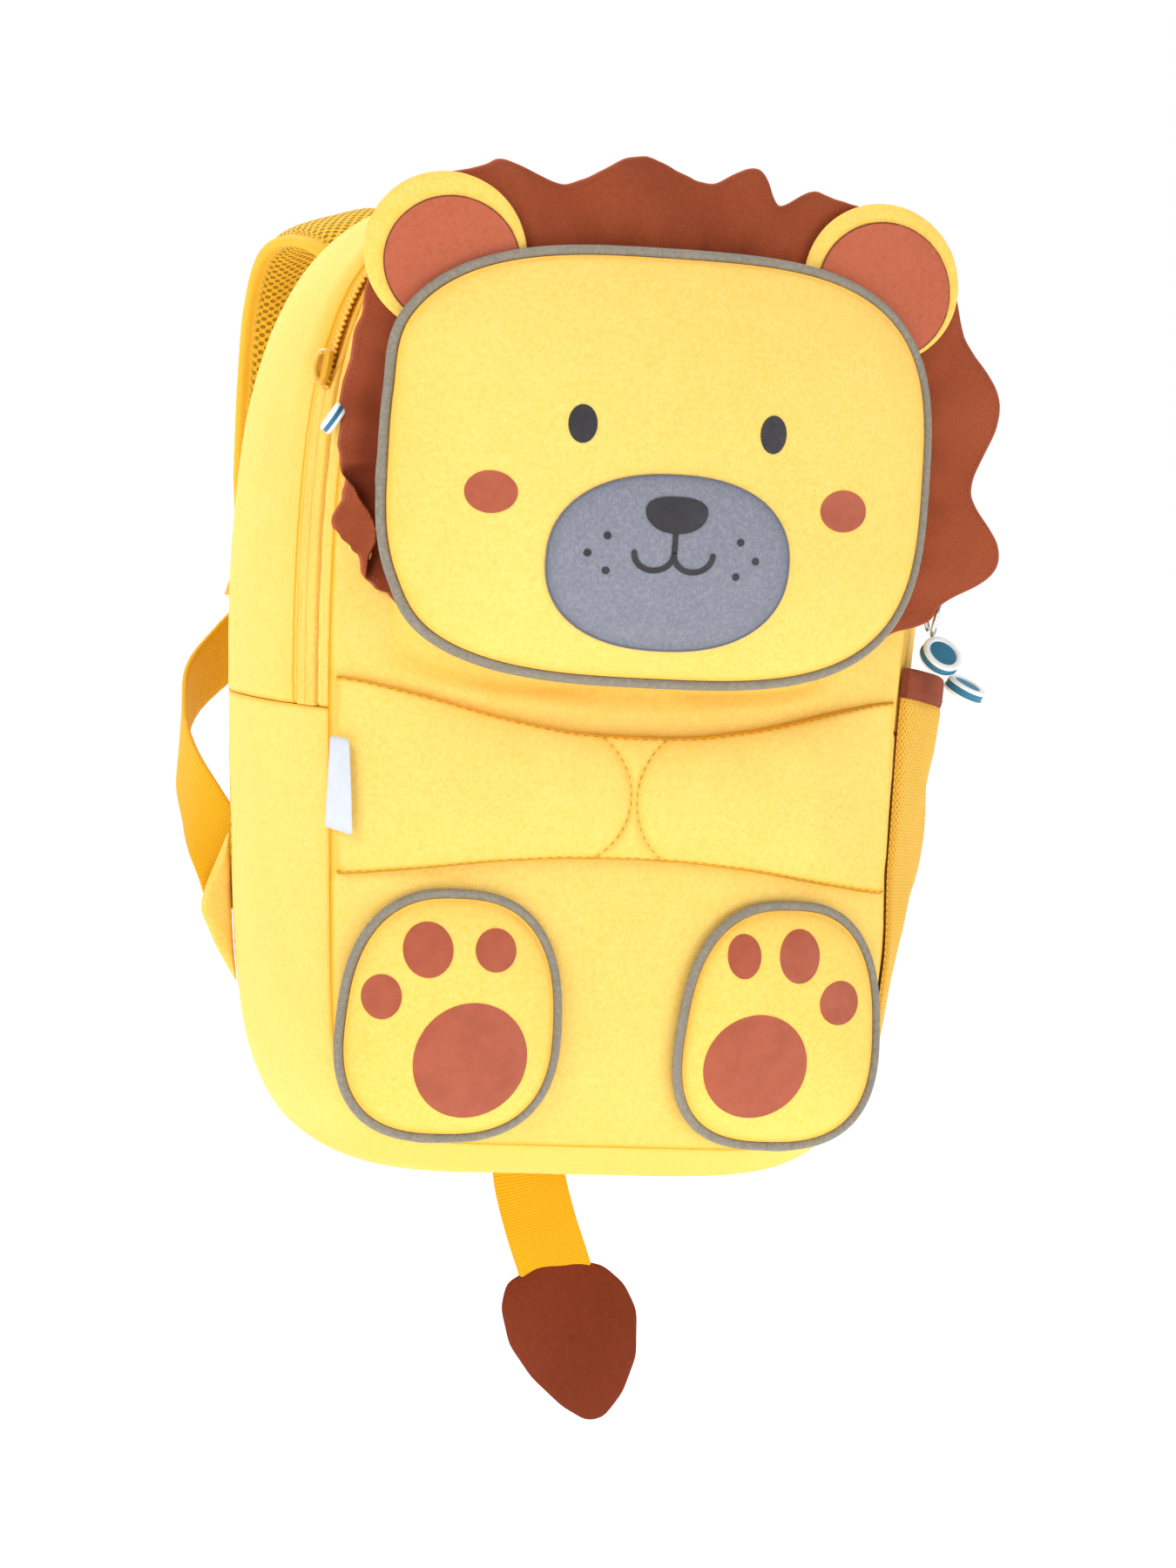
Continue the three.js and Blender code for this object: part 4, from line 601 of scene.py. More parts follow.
# back panel: mesh pads with a middle channel
out = resample(outline(Y_BACK), 320, True); P = Piece(True)
inset = np.concatenate([[0, 0.2, 0.6, 1.2, 2, 3.5, 5.5, 7, 8, 9, 10.5], np.linspace(13, 96, 46)])
rad = np.linalg.norm(out, axis=1); ring = out[:, None] * np.maximum(0.03, 1 - inset[None] / rad.min())[..., None]
dist = np.linalg.norm(ring - out[:, None], axis=2); x, z = ring[..., 0], ring[..., 1]
border = 1 - smooth((dist - 6.5) / 2.5)
groove = np.exp(-((np.abs(x) - 17) / 2.6) ** 2) + np.exp(-((z - 62) / 2.6) ** 2) * (np.abs(x) > 17) + np.exp(-((z + 8) / 2.6) ** 2) * (np.abs(x) > 17) + np.exp(-((z + 78) / 2.6) ** 2) * (np.abs(x) > 17)
puff = -0.2 - 2.3 * np.clip(groove, 0, 1) - 1.9 * border - 0.5 * np.exp(-((dist - 8) / 1.2) ** 2) + 0.25 * fbm(pts(x / 18, 0 * x, z / 18), 61, 2)
y = puff - edge_drop(dist, 1.4)
top = pts(x, np.maximum(y, -4.6), z); back = pts(x, np.full_like(x, Y_BACK + GAP), z)
P.polar(np.concatenate([top[:, ::-1], back[:, ::8]], 1), (0, -0.3, 0), (0, Y_BACK + GAP, 0), shade=np.clip(np.concatenate([(0.6 * np.clip(groove, 0, 1) + 0.5 * np.exp(-((dist - 8) / 1.5) ** 2))[:, ::-1], (0 * x)[:, ::8]], 1), 0, 0.9))
back_p = P.make("back_panel_mesh", MAT["air"], ("back_panel",))

# ------------------------------------------------------------------ head
rim = superell(0, HEAD["cz"], HEAD["a"], HEAD["b"], HEAD["n"], 420)
ang = np.degrees(np.arctan2(rim[:, 1] - HEAD["cz"], rim[:, 0])); ang = np.where(ang < -90, ang + 360, ang)
# face: rings from the rim to the middle
o = offset2(rim, -1.45); s = np.concatenate([[1, 0.997, 0.991, 0.982, 0.97, 0.955, 0.935, 0.91, 0.88], np.linspace(0.845, 0.05, 26)])
c = np.array([0, HEAD["cz"]]); q = c + (o[:, None] - c) * s[None, :, None]
top = pts(q[..., 0], face_y(q[..., 0], q[..., 1]), q[..., 1]); qb = c + (o[:, None] - c) * np.array([1, 0.6, 0.2])[None, :, None]
back = pts(qb[..., 0], rim_y(qb[..., 0], qb[..., 1]) + 1.5, qb[..., 1])
P = Piece("head"); edge = np.exp(-(1 - s) * 90 / 1.0)
P.polar(np.concatenate([top[:, ::-1], back], 1), (0, float(face_y(np.zeros(1), np.full(1, HEAD["cz"]))[0]), HEAD["cz"]), (0, HEAD["y0"] + 1.5, HEAD["cz"]),
        shade=np.broadcast_to(np.concatenate([(0.5 * edge + 0.10 * np.exp(-(1 - s) * 90 / 9))[::-1], [0.5, 0.5, 0.5]])[None], (len(o), len(s) + 3)))
face = P.make("face_panel_cloth", MAT["face"], ("face_panel",))
# piping
line = pts(rim[:, 0], rim_y(rim[:, 0], rim[:, 1]), rim[:, 1]); nn = normals2(rim)
P = Piece("head"); cord_loop(P, line, pts(nn[:, 0], 0 * nn[:, 0], nn[:, 1]), 1.6 * (1 + 0.035 * n1(np.arange(len(rim)) / 5.0, 71) + 0.14 * np.exp(-((ang - 184) / 2.6) ** 4)), sides=14, flat=1.04)
P.make("face_piping_cord", MAT["pipe"], ("face_piping",))
# side wall of the head, flaring out onto the body where no mane covers it
base_off = flare(ang); low = np.clip((base_off + 5.6) / 9.8, 0, 1); t = np.concatenate([[0, 0.03, 0.08], np.linspace(0.15, 0.85, 14), [0.93, 0.98, 1.0]])
rows_o, rows_i = [], []
arc_r = np.concatenate([[0], np.cumsum(np.linalg.norm(np.diff(rim, axis=0), axis=1))])
for tt in t:
    d = mix(-1.9, base_off, 0.55 * tt + 0.45 * tt**2.2) + 0.35 * n1(arc_r / 9 + 3, 75) * math.sin(math.pi * tt) + 0.9 * low * n1(arc_r / 34 + 8, 76) * tt
    p2 = offset2(rim, d); y = mix(rim_y(p2[:, 0], p2[:, 1]) + 1.6, panel_y(p2[:, 0], p2[:, 1]) + 0.9, tt); rows_o.append(pts(p2[:, 0], y, p2[:, 1])); p3 = offset2(rim, d - 1.8); rows_i.append(pts(p3[:, 0], y, p3[:, 1]))
P = Piece("head"); sh = (0.12 + 0.12 * t + 0.2 * t**6)[None] + 0 * low[:, None]
P.shell(np.array(rows_o).transpose(1, 0, 2), np.array(rows_i).transpose(1, 0, 2), cu=True, shade=np.clip(sh, 0, 0.92))
wall = P.make("head_side_cloth", MAT["body"], ("head_cushion",))

# muzzle patch, a wide oval
MZ = dict(x=0.0, z=38.5, a=38.0, b=26.5, n=2.3)
def muzzle_y(x, z):
    s = np.minimum(1, (np.abs((x - MZ["x"]) / MZ["a"]) ** MZ["n"] + np.abs((z - MZ["z"]) / MZ["b"]) ** MZ["n"]) ** (1 / MZ["n"]))
    crease = 0.55 * fbm(pts(x / 10, 0 * x, (z + 0.35 * np.abs(x)) / 4.2), 81, 2) * smooth((MZ["z"] - 6 - z) / 14) * smooth((1 - s) / 0.15)
    return face_y(x, z) - 0.45 - 1.7 * (1 - s * s) ** 0.6 - crease
o = superell(MZ["x"], MZ["z"], MZ["a"], MZ["b"], MZ["n"], 200); s = np.concatenate([[1, 0.99, 0.97, 0.94, 0.9], np.linspace(0.85, 0.06, 22)]); c = np.array([MZ["x"], MZ["z"]]); q = c + (o[:, None] - c) * s[None, :, None]
top = pts(q[..., 0], muzzle_y(q[..., 0], q[..., 1]), q[..., 1]); back = top[:, :1].copy(); back[..., 1] += 1.0
P = Piece(); P.polar(np.concatenate([top[:, ::-1], back], 1), (c[0], float(muzzle_y(c[0:1], c[1:2])[0]), c[1]), (c[0], float(face_y(c[0:1], c[1:2])[0]) + 0.5, c[1]), shade=np.broadcast_to(np.concatenate([(0.5 * np.exp(-(1 - s) * 32 / 1.5))[::-1], [0.5]])[None], (len(o), len(s) + 1)))
P.make("muzzle_patch", MAT["grey"], ("muzzle",))
line = pts(o[:, 0], face_y(o[:, 0], o[:, 1]) - 0.35, o[:, 1]); nn = normals2(o)
P = Piece(); cord_loop(P, line, pts(nn[:, 0], 0 * nn[:, 0], nn[:, 1]), 0.42, sides=8)
P.make("muzzle_edge_stitch", MAT["thrg"])
# printed features: broad rounded nose, two-arc mouth, oval eyes, freckles, cheeks
P = Piece()
f = np.arange(64) / 64 * TAU
nose = np.stack([9.6 * np.sign(np.cos(f)) * np.abs(np.cos(f)) ** 0.85 * (1 + 0.16 * np.sin(f)), 53.2 + 5.6 * np.sign(np.sin(f)) * np.abs(np.sin(f)) ** 0.9], -1)
blob(P, nose, (0, 53.2), muzzle_y, lift=0.35)
stroke(P, [(0, 48.5), (0, 45), (0, 41.5)], 1.7, muzzle_y, lift=0.3)
for sx in (-1, 1):
    a = np.linspace(0, math.pi, 20); stroke(P, np.stack([sx * (6.2 - 6.2 * np.cos(a)), 41.4 - 5.2 * np.sin(a)], -1), 1.7, muzzle_y, lift=0.3)
    blob(P, np.stack([sx * 30 + 4.3 * np.cos(f), 79 + 5.8 * np.sin(f)], -1), (sx * 30, 79), face_y, lift=0.25)
    for dx, dz in ((21, 46), (26.5, 40.5), (20.5, 35.5)): blob(P, np.stack([sx * dx + 1.15 * np.cos(f), dz + 1.15 * np.sin(f)], -1), (sx * dx, dz), muzzle_y, lift=0.25, rings=3)
P.make("face_print", MAT["ink"])
P = Piece()
P.drawn = "head"
for sx in (-1, 1): blob(P, np.stack([sx * 56 + 8.2 * np.cos(f), 57 + 6.4 * np.sin(f)], -1), (sx * 56, 57), face_y, lift=0.22)
P.make("cheek_print", MAT["inkterra"])

# mane
deg, rad_e = [], []
for i in range(len(MANE_EDGE) - 1):
    tt = np.arange(17) / 17; deg += list(mix(MANE_EDGE[i, 0], MANE_EDGE[i + 1, 0], tt)); rad_e += list(mix(MANE_EDGE[i, 1], MANE_EDGE[i + 1, 1], (1 - np.cos(np.pi * tt)) / 2))
deg = np.array(deg + [MANE_EDGE[-1, 0]]); rad_e = np.array(rad_e + [MANE_EDGE[-1, 1]])
rad_e = rad_e + 0.35 * n1(deg / 2.6, 91)
fr = deg * D2R; cs, sn = np.cos(fr), np.sin(fr); a_, b_ = HEAD["a"] - 3.9, HEAD["b"] - 3.9
r0 = (np.abs(cs / a_) ** HEAD["n"] + np.abs(sn / b_) ** HEAD["n"]) ** (-1 / HEAD["n"]); r1 = np.maximum(rad_e, r0 + 3); r0 = r0 - head_shift(r0 * cs, HEAD["cz"] + r0 * sn)
kk = np.concatenate([np.linspace(0, 0.86, 22), [0.9, 0.93]]); rim_d = np.array([1.4, 0.9, 0.5, 0.2, 0.0])
def mane_xyz(i, r):
    x, z = r * cs[i], HEAD["cz"] + r * sn[i]; return x, z
R = np.concatenate([r0[:, None] + (r1 - r0)[:, None] * kk[None], r1[:, None] - rim_d[None]], 1)
R = np.maximum.accumulate(R, axis=1)
X, Z = R * cs[:, None], HEAD["cz"] + R * sn[:, None]
tt = np.clip((R - r0[:, None]) / np.maximum(6, (r1 - r0))[:, None], 0, 1); dr = R - r0[:, None]
ear_near = np.zeros_like(X)
for e_ in EARS.values(): ear_near = np.maximum(ear_near, 1 - smooth((np.hypot(X - e_["x"], Z - e_["z"]) - 28) / 8))
wave = (0.5 + 0.5 * np.sin(deg / 13.5 * 2 * np.pi / 2 + 1.7 * n1(deg / 20, 93)))[:, None]
Y = rim_y(X, Z) + 6.4 + tt**1.5 * (1.0 + 4.2 * wave) * (1 - 0.75 * ear_near) - 0.9 * (np.sin(deg * 0.62 + 2 * n1(deg / 9, 94))[:, None] * np.exp(-((dr - 7) / 9) ** 2)) * (1 - ear_near) - 0.35 * fbm(pts(X / 9, 0 * X, Z / 9), 95, 2) * (1 - ear_near)
Y = np.maximum(Y, rim_y(X, Z) + 6.2)
left = smooth((deg - 158) / 14)[:, None]                                    # the left side is pushed back along the body
Y = Y + left * tt**1.2 * (3.0 + 2.0 * np.sin(deg / 7.3)[:, None])
# broad soft folds over the top, running out from the rim
top_ = smooth((deg - 42) / 14) * smooth((128 - deg) / 14)
Y = Y - (top_[:, None] * tt * (1 - ear_near)) * (1.5 * np.sin(deg / 5.1 + 1.3 * n1(deg / 16, 97))[:, None] + 0.9 * np.sin((X + 0.7 * Z) / 6.5 + 2))
# the twist low on the left: a lobe lying over a hollow along the rim
TW = np.array([(182, 95.4), (184, 94.2), (187, 90.4), (191.6, 87.4), (195.3, 86.4), (198, 87.2), (202.2, 91.2), (205, 93.5)], float)
tw = (R - np.interp(deg, TW[:, 0], TW[:, 1])[:, None]); on_ = (smooth((deg - 181.5) / 3) * smooth((206 - deg) / 4))[:, None]
hollow = on_ * smooth((0.9 - tw) / 1.8); lobe = on_ * smooth(tw / 1.2) * np.exp(-(tw / 5.0) ** 2)
Y = Y + 3.2 * hollow - 3.4 * lobe
Y = np.maximum(Y, rim_y(X, Z) + 3.2)
de = np.concatenate([np.full(len(kk), 9.0), rim_d]); drop = edge_drop(de, 0.9)[None]
fr_o = pts(X, Y + drop, Z); bk = pts(X, Y + 2.0 - drop, Z)
# painted shade: dark next to the piping, in the hollow under the twist, in a band along the left side and on one flank
# of each top fold; the lobe is kept lighter, a painted highlight
sh = np.clip(0.75 * np.exp(-dr / 3.2) + 0.28 * np.exp(-dr / 11) + 0.9 * hollow - 0.75 * lobe + 0.55 * left * np.exp(-((dr - 7) / 4) ** 2) + 0.18 * top_[:, None] * (0.5 + 0.5 * np.sin((X + 0.7 * Z) / 6.5 + 3.2)), 0, 0.95)
# faces round the felt's outer rim take the lighter rim felt: cut edge and painted highlight
cut_edge_highlight = np.zeros((len(deg) - 1, 2 * R.shape[1]), int); nr_ = R.shape[1]; cut_edge_highlight[:, nr_ - 3:nr_ + 2] = 1
P = Piece(); P.shell(fr_o, bk, shade=sh, mat=cut_edge_highlight); mane = P.make("mane_felt", [MAT["felt"], MAT["feltcut_highlight"]], ("mane",))
# its stitch line
P = Piece(); rs = r1 - 1.9; ok = rs > r0 + 1.6; seg = np.flatnonzero(ok)
xs, zs = rs[seg] * cs[seg], HEAD["cz"] + rs[seg] * sn[seg]; ysr = np.array([np.interp(rs[i], R[i], Y[i]) for i in seg])
stitches(P, pts(xs, ysr, zs), (0, -1, 0), pitch=1.9, length=1.35, r=0.17)
P.make("mane_stitching", MAT["thrf"], fix=False)

# ears
for side, sx in (("left", -1), ("right", 1)):
    E = EARS[side]; c = np.array([E["x"], E["z"]]); o = superell(c[0], c[1], E["a"], E["b"], 2, 180); s = np.concatenate([[1, 0.995, 0.985, 0.965, 0.93, 0.89], np.linspace(0.84, 0.06, 14)])
    q = c + (o[:, None] - c) * s[None, :, None]; w = (1 - s**6)[None]; rr = 1.35 * np.sqrt(np.clip(1 - ((s - 0.92).clip(0) / 0.08) ** 2, 0, 1))[None]
    bump_ = 0.30 * fbm(pts(q[..., 0] / 10, 0 * q[..., 0], q[..., 1] / 10), 101 + sx, 2) + 0.30 * fbm(pts(q[..., 0] / 4, 0 * q[..., 0], q[..., 1] / 4), 105 + sx, 2) * smooth((s - 0.8) / 0.08)[None]
    yf = rim_y(q[..., 0], q[..., 1]) + 4.4 - rr - 0.3 * w + bump_; yb = rim_y(q[..., 0], q[..., 1]) + 4.4 + rr
    di = (np.hypot((q[..., 0] - E["ix"]) / E["ra"], (q[..., 1] - E["iz"]) / E["r"]) - 1) * E["r"]
    P = Piece(); P.polar(np.concatenate([pts(q[..., 0], yf, q[..., 1])[:, ::-1], pts(q[..., 0], yb, q[..., 1])], 1), (c[0], float(rim_y(c[0], c[1])) + 2.9, c[1]), (c[0], float(rim_y(c[0], c[1])) + 5.7, c[1]),
                         shade=np.concatenate([(0.45 * np.exp(-(di / 0.7) ** 2) + 0.12 * np.exp(-np.abs(di) / 2.5))[:, ::-1], 0.3 + 0 * q[..., 0]], 1))
    e = P.make(f"ear_{side}_cloth", MAT["ear"], (f"ear_{side}",))
    surf = lambda x, z: rim_y(x, z) + 2.70 + 0.30 * fbm(pts(x / 10, 0 * x, z / 10), 101 + sx, 2)
    P = Piece(); blob(P, superell(E["ix"], E["iz"], E["ra"], E["r"], 2, 120), (E["ix"], E["iz"]), lambda x, z: surf(x, z) - 0.45 * (1 - np.hypot(x - E["ix"], z - E["iz"]) / E["r"]).clip(0) ** 0.5, lift=0.3, rings=12)
    P.make(f"ear_{side}_disc", MAT["terra"], (f"ear_{side}_inner",))
    o2 = superell(E["ix"], E["iz"], E["ra"], E["r"], 2, 160); nn = normals2(o2); P = Piece(); cord_loop(P, pts(o2[:, 0], surf(o2[:, 0], o2[:, 1]) - 0.12, o2[:, 1]), pts(nn[:, 0], 0 * nn[:, 0], nn[:, 1]), 0.28 * (1 + 0.25 * n1(np.arange(len(o2)) / 1.7, 107)), sides=8)
    P.make(f"ear_{side}_edge", MAT["thrb"])

# ------------------------------------------------------------------ arms: one padded band with quilted paws
def arms_edge(x):
    X = np.minimum(88, np.abs(x)); return np.interp(X, ARMS[:, 0], ARMS[:, 1]), np.interp(X, ARMS[:, 0], ARMS[:, 2])
def arms_edge_s(x):
    w = np.linspace(-6, 6, 9); H = np.mean([arms_edge(x + d)[0] for d in w], 0); Lo = np.mean([arms_edge(x + d)[1] for d in w], 0); return H, Lo
ARC_C, ARC_R, ARC_Z, ARC_H = 23.4, 22.5, -34.6, 18.5          # the two stitched arcs: circles whose near sides almost touch
def arc_d(x, z):
    d = np.abs(np.hypot(np.abs(x) - ARC_C, z - ARC_Z) - ARC_R); d = np.where(np.abs(x) < ARC_C, d, 99); return d + (np.abs(z - ARC_Z) - ARC_H).clip(0) * 2
def arms_y(x, z):
    hi, lo = arms_edge_s(x); v = np.clip((z - lo) / (hi - lo), 0, 1)
    puff = (4 * v * (1 - v)) ** 0.5 * smooth((91 - np.abs(x)) / 34)
    da = arc_d(x, z); g = 1.5 * np.exp(-(da / 1.4) ** 2) + 0.9 * np.exp(-(da / 5) ** 2)
    de = np.minimum(z - lo, hi - z).clip(0)
    puck = (0.65 * n1(x / 4.6, 111) * np.exp(-(hi - z).clip(0) / 5) + 0.65 * n1(x / 4.9 + 9, 112) * np.exp(-(z - lo).clip(0) / 5)) * smooth(de / 1.2)
    soft = 0.7 * fbm(pts(x / 26, 0 * x, z / 26), 113, 2) + 0.18 * fbm(pts(x / 8, 0 * x, z / 8), 114, 2)
    return front_y(x, z) - 0.7 - 1.3 - 6.7 * puff + (g * puff) - (puck + soft) * np.minimum(1, puff * 1.5)
nu, nv = 260, 56; u = np.linspace(-1, 1, nu); v = np.concatenate([[0, 0.006, 0.016, 0.032, 0.055], np.linspace(0.085, 0.915, nv - 10), [0.945, 0.968, 0.984, 0.994, 1]])
hx = np.interp(v, [0, 0.2, 0.55, 1], [87.6, 89.2, 90.3, 91.0]); X = u[:, None] * hx[None]; hi, lo = arms_edge_s(X); Z = mix(lo, hi, v[None])
top = pts(X, arms_y(X, Z), Z); bot = pts(X, front_y(X, Z) - 0.35, Z)
end = (hx[None] - np.abs(X)).clip(0); top[..., 1] += edge_drop(end, 1.2) * 0.8; top[..., 1] += edge_drop(((1 - v[None]) * (hi - lo)), 0.9) + edge_drop((v[None] * (hi - lo)), 0.9)
top[..., 1] = np.minimum(top[..., 1], bot[..., 1] - 0.15)
sh = 1.2 * np.exp(-((1 - v[None]) * 40 / 0.7) ** 2) + 1.5 * np.exp(-(v[None] * 40 / 0.8) ** 2) + 0.12 * np.exp(-v[None] * 40 / 5) + 0.5 * np.exp(-(end / 1.0) ** 2) + 0 * X
sh = sh + 0.38 * np.exp(-(arc_d(X, Z) / 0.9) ** 2) + 0.10 * np.exp(-arc_d(X, Z) / 4)
P = Piece(True); P.shell(top, bot, shade=np.clip(sh, 0, 1.6)); arms = P.make("arms_panel_cloth", MAT["body"], ("arms_panel",))
P = Piece(True)
for sx in (-1, 1):
    am = math.asin(ARC_H / ARC_R); a = np.linspace(-am, am, 60); r = ARC_R + 0.2 * n1(a * 6, 116 + sx); xs = sx * (ARC_C - r * np.cos(a)); zs = ARC_Z + r * np.sin(a)
    stitches(P, pts(xs, arms_y(xs, zs), zs), (0, -1, 0), pitch=2.6, length=1.9, r=0.21)
xs = np.linspace(-89, 89, 260); hi, lo = arms_edge_s(xs)
stitches(P, pts(xs, arms_y(xs, hi - 0.7) + 0.1, hi - 0.7 + 0.12 * n1(xs / 5, 118)), (0, -1, 0), pitch=3.1, length=2.1, r=0.22)
stitches(P, pts(xs, arms_y(xs, lo + 0.8) + 0.1, lo + 0.8 + 0.12 * n1(xs / 5, 119)), (0, -1, 0), pitch=3.1, length=2.1, r=0.22)
P.make("arms_stitching", MAT["thro"], fix=False)

# ------------------------------------------------------------------ feet
# prints on each foot, the pad last: middle x, z, half width, half height
PRINTS = {-1: [(-40.9, -82.4, 6.4, 6.7), (-61.5, -83.2, 7.4, 8.5), (-74.2, -98.4, 5.6, 6.9), (-45.9, -117.0, 17.8, 18.3)], 1: [(38.6, -81.8, 5.2, 6.9), (56.8, -81.3, 6.8, 8.4), (71.7, -95.7, 7.1, 6.9), (45.4, -116.3, 16.6, 16.6)]}
for side, sx in (("left", -1), ("right", 1)):
    c = np.array([FOOT_X[sx], FOOT["z"]]); rimf = superell(c[0], c[1], FOOT["a"], FOOT["b"], FOOT["n"], 220, FOOT["egg"])
    o = offset2(rimf, -1.4); s = np.concatenate([[1, 0.993, 0.98, 0.96, 0.93, 0.9], np.linspace(0.86, 0.06, 22)]); q = c + (o[:, None] - c) * s[None, :, None]
    top = pts(q[..., 0], foot_y(sx, q[..., 0], q[..., 1]), q[..., 1]); back = top[:, :1].copy(); back[..., 1] = front_y(back[..., 0], back[..., 2]) - 0.3
    P = Piece(); P.polar(np.concatenate([top[:, ::-1], back], 1), (c[0], float(foot_y(sx, c[0:1], c[1:2])[0]), c[1]), (c[0], float(front_y(c[0], c[1])) - 0.3, c[1]),
                         shade=np.broadcast_to(np.concatenate([(0.5 * np.exp(-(1 - s) * 36 / 0.9) + 0.1 * np.exp(-(1 - s) * 36 / 6))[::-1], [0.6]])[None], (len(o), len(s) + 1)))
    ft = P.make(f"foot_{side}_cloth", MAT["ear"], (f"foot_{side}",))
    nn = normals2(rimf); a = np.degrees(np.arctan2(rimf[:, 1] - c[1], rimf[:, 0] - c[0])); join = np.exp(-((a + 90 - sx * 6) / 5) ** 4)
    line = pts(rimf[:, 0], front_y(rimf[:, 0], rimf[:, 1]) - 0.75 - PIPE_R, rimf[:, 1])
    P = Piece(); cord_loop(P, line, pts(nn[:, 0], 0 * nn[:, 0], nn[:, 1]), 1.5 * (1 + 0.12 * join + 0.035 * n1(np.arange(len(rimf)) / 4.0, 121 + sx)), sides=14, flat=1.05, shade=np.repeat((0.35 * np.exp(-((a + 90 - sx * 6 - 6.2) / 0.8) ** 2) + 0.35 * np.exp(-((a + 90 - sx * 6 + 6.2) / 0.8) ** 2))[:, None], 14, 1))
    P.make(f"foot_{side}_piping_cord", MAT["pipe"], (f"foot_{side}_piping",))
    P = Piece(); sf = lambda x, z: foot_y(sx, x, z)
    for tx, tz, ta, tb in PRINTS[sx]: blob(P, np.stack([tx + ta * np.cos(f), tz + tb * np.sin(f)], -1), (tx, tz), sf, lift=0.22, rings=12 if ta > 12 else 7)
    P.make(f"foot_{side}_print", MAT["inkterra"])

# ------------------------------------------------------------------ side pocket, binding, label, tabs
ys = np.concatenate([[-91, -90.8, -90.3, -89.5], np.linspace(-88, -11, 52), [-9.5, -8.7, -8.2, -8]]); ts = np.concatenate([np.linspace(0, 0.97, 88), [0.985, 1.0]])
def z_top(y): return -1 - 0.14 * (y + 91)                                   # the mouth falls towards the back
def pocket_bulge(y, z): v = np.clip((y + 91) / 83, 0, 1); return 1 + 10 * np.sin(np.pi * v) ** 0.7 * smooth((z + 100) / 78)
def on_wall(yv, zv): return np.array([[(side_x(a, b), a, b) for a, b in zip(ra, rb)] for ra, rb in zip(yv, zv)])
Yg = np.broadcast_to(ys[None], (len(ts), len(ys))); Zg = mix(z_top(Yg), -128, ts[:, None]); G = on_wall(Yg, Zg)
bul = pocket_bulge(Yg, Zg); full = smooth((bul - 1) / 4); dt_ = (z_top(Yg) - Zg)
soft = (1.3 * fbm(pts(0 * Yg, Yg / 20, Zg / 26), 131, 2) + 0.5 * fbm(pts(0 * Yg, Yg / 9, (Zg + 0.6 * Yg) / 14), 134, 2)) * full + 0.3 * n1(Yg / 3.5, 132) * np.exp(-dt_ / 6) * full
dz_ = np.minimum(dt_, np.abs(Zg + 128)); dy_ = np.minimum(np.abs(Yg + 91), np.abs(Yg + 8))
outer = G + np.stack([bul + 1.2 + soft - 0.5 * edge_drop(dy_, 1.2) - 0.5 * edge_drop(dz_, 1.0), 0 * Yg, 0 * Yg], -1); inner = G + np.stack([np.maximum(0.25, bul + soft - 0.1), 0 * Yg, 0 * Yg], -1)
P = Piece(True); P.shell(outer, inner, shade=np.clip(0.5 * np.exp(-(dy_ / 1.3) ** 2) + 0.2 * np.exp(-dz_ / 4), 0, 0.9)); pocket = P.make("side_pocket_net", MAT["pocket"], ("side_pocket",))
zb = np.array([9.4, 9.35, 9.1, 8.5, 7.4, 6.0, 4.4, 2.8, 1.9, 1.2, 0.6, 0.2, 0.0]); Yg = np.broadcast_to(ys[:, None], (len(ys), len(zb))); Zg = z_top(Yg) + zb[None]; G = on_wall(Yg, Zg); bul = pocket_bulge(Yg, Zg)
def lip_(d): return np.sqrt(np.clip(1 - (np.abs(d - 4.7) / 4.8) ** 5, 0.02, 1))
soft = 0.35 * n1(Yg / 5, 133) * smooth((bul - 1) / 4)
outer = G + np.stack([bul + 1.0 + 0.95 * lip_(zb)[None] + soft, 0 * Yg, 0 * Yg], -1); inner = G + np.stack([bul - 0.4 + soft * 0.5, 0 * Yg, 0 * Yg], -1)
P = Piece(True); P.shell(outer, inner, shade=np.clip(0.45 * np.exp(-((zb - 0.1) / 0.6) ** 2) + 0.3 * np.exp(-((zb - 2.3) / 0.35) ** 2), 0, 0.9)[None] + 0 * Yg); P.make("side_pocket_binding_tape", MAT["binding"], ("side_pocket_binding",))
P = Piece(True); yl = np.linspace(-89.5, -9.5, 80); zl = z_top(yl) + 2.3
xl = np.array([side_x(y, z) for y, z in zip(yl, zl)]) + pocket_bulge(yl, zl) + 1.0 + 0.95 * lip_(2.3) + 0.35 * n1(yl / 5, 133) * smooth((pocket_bulge(yl, zl) - 1) / 4)
stitches(P, pts(xl, yl, zl), (1, 0, 0), pitch=2.2, length=1.5, r=0.2)
P.make("pocket_binding_stitching", MAT["thrf"], fix=False)

# label: a folded strip, blank, with rounded corners
L4 = np.array([(-93, -47.8), (-85.1, -49.9), (-87.4, -20.8), (-93, -20)], float); o = resample(L4, 200, True)
for _ in range(10): o = (np.roll(o, 1, 0) + 2 * o + np.roll(o, -1, 0)) / 4
c = np.array([-89.6, -34.6]); s = np.concatenate([[1, 0.99, 0.97, 0.93], np.linspace(0.86, 0.08, 12)]); q = c + (o[:, None] - c) * s[None, :, None]
def label_y(x, z): return -103.2 - (x + 93) * 0.4 - 0.5 * np.sin((z + 50) / 30 * np.pi * 1.2 + 0.4) * smooth((x + 93) / 5) - 0.12 * fbm(pts(x / 4, 0 * x, z / 4), 137, 2)
hh = (0.4 * (1 - s**10) ** 0.5 + 0.03)[None]; yc = label_y(q[..., 0], q[..., 1]) + 0.4
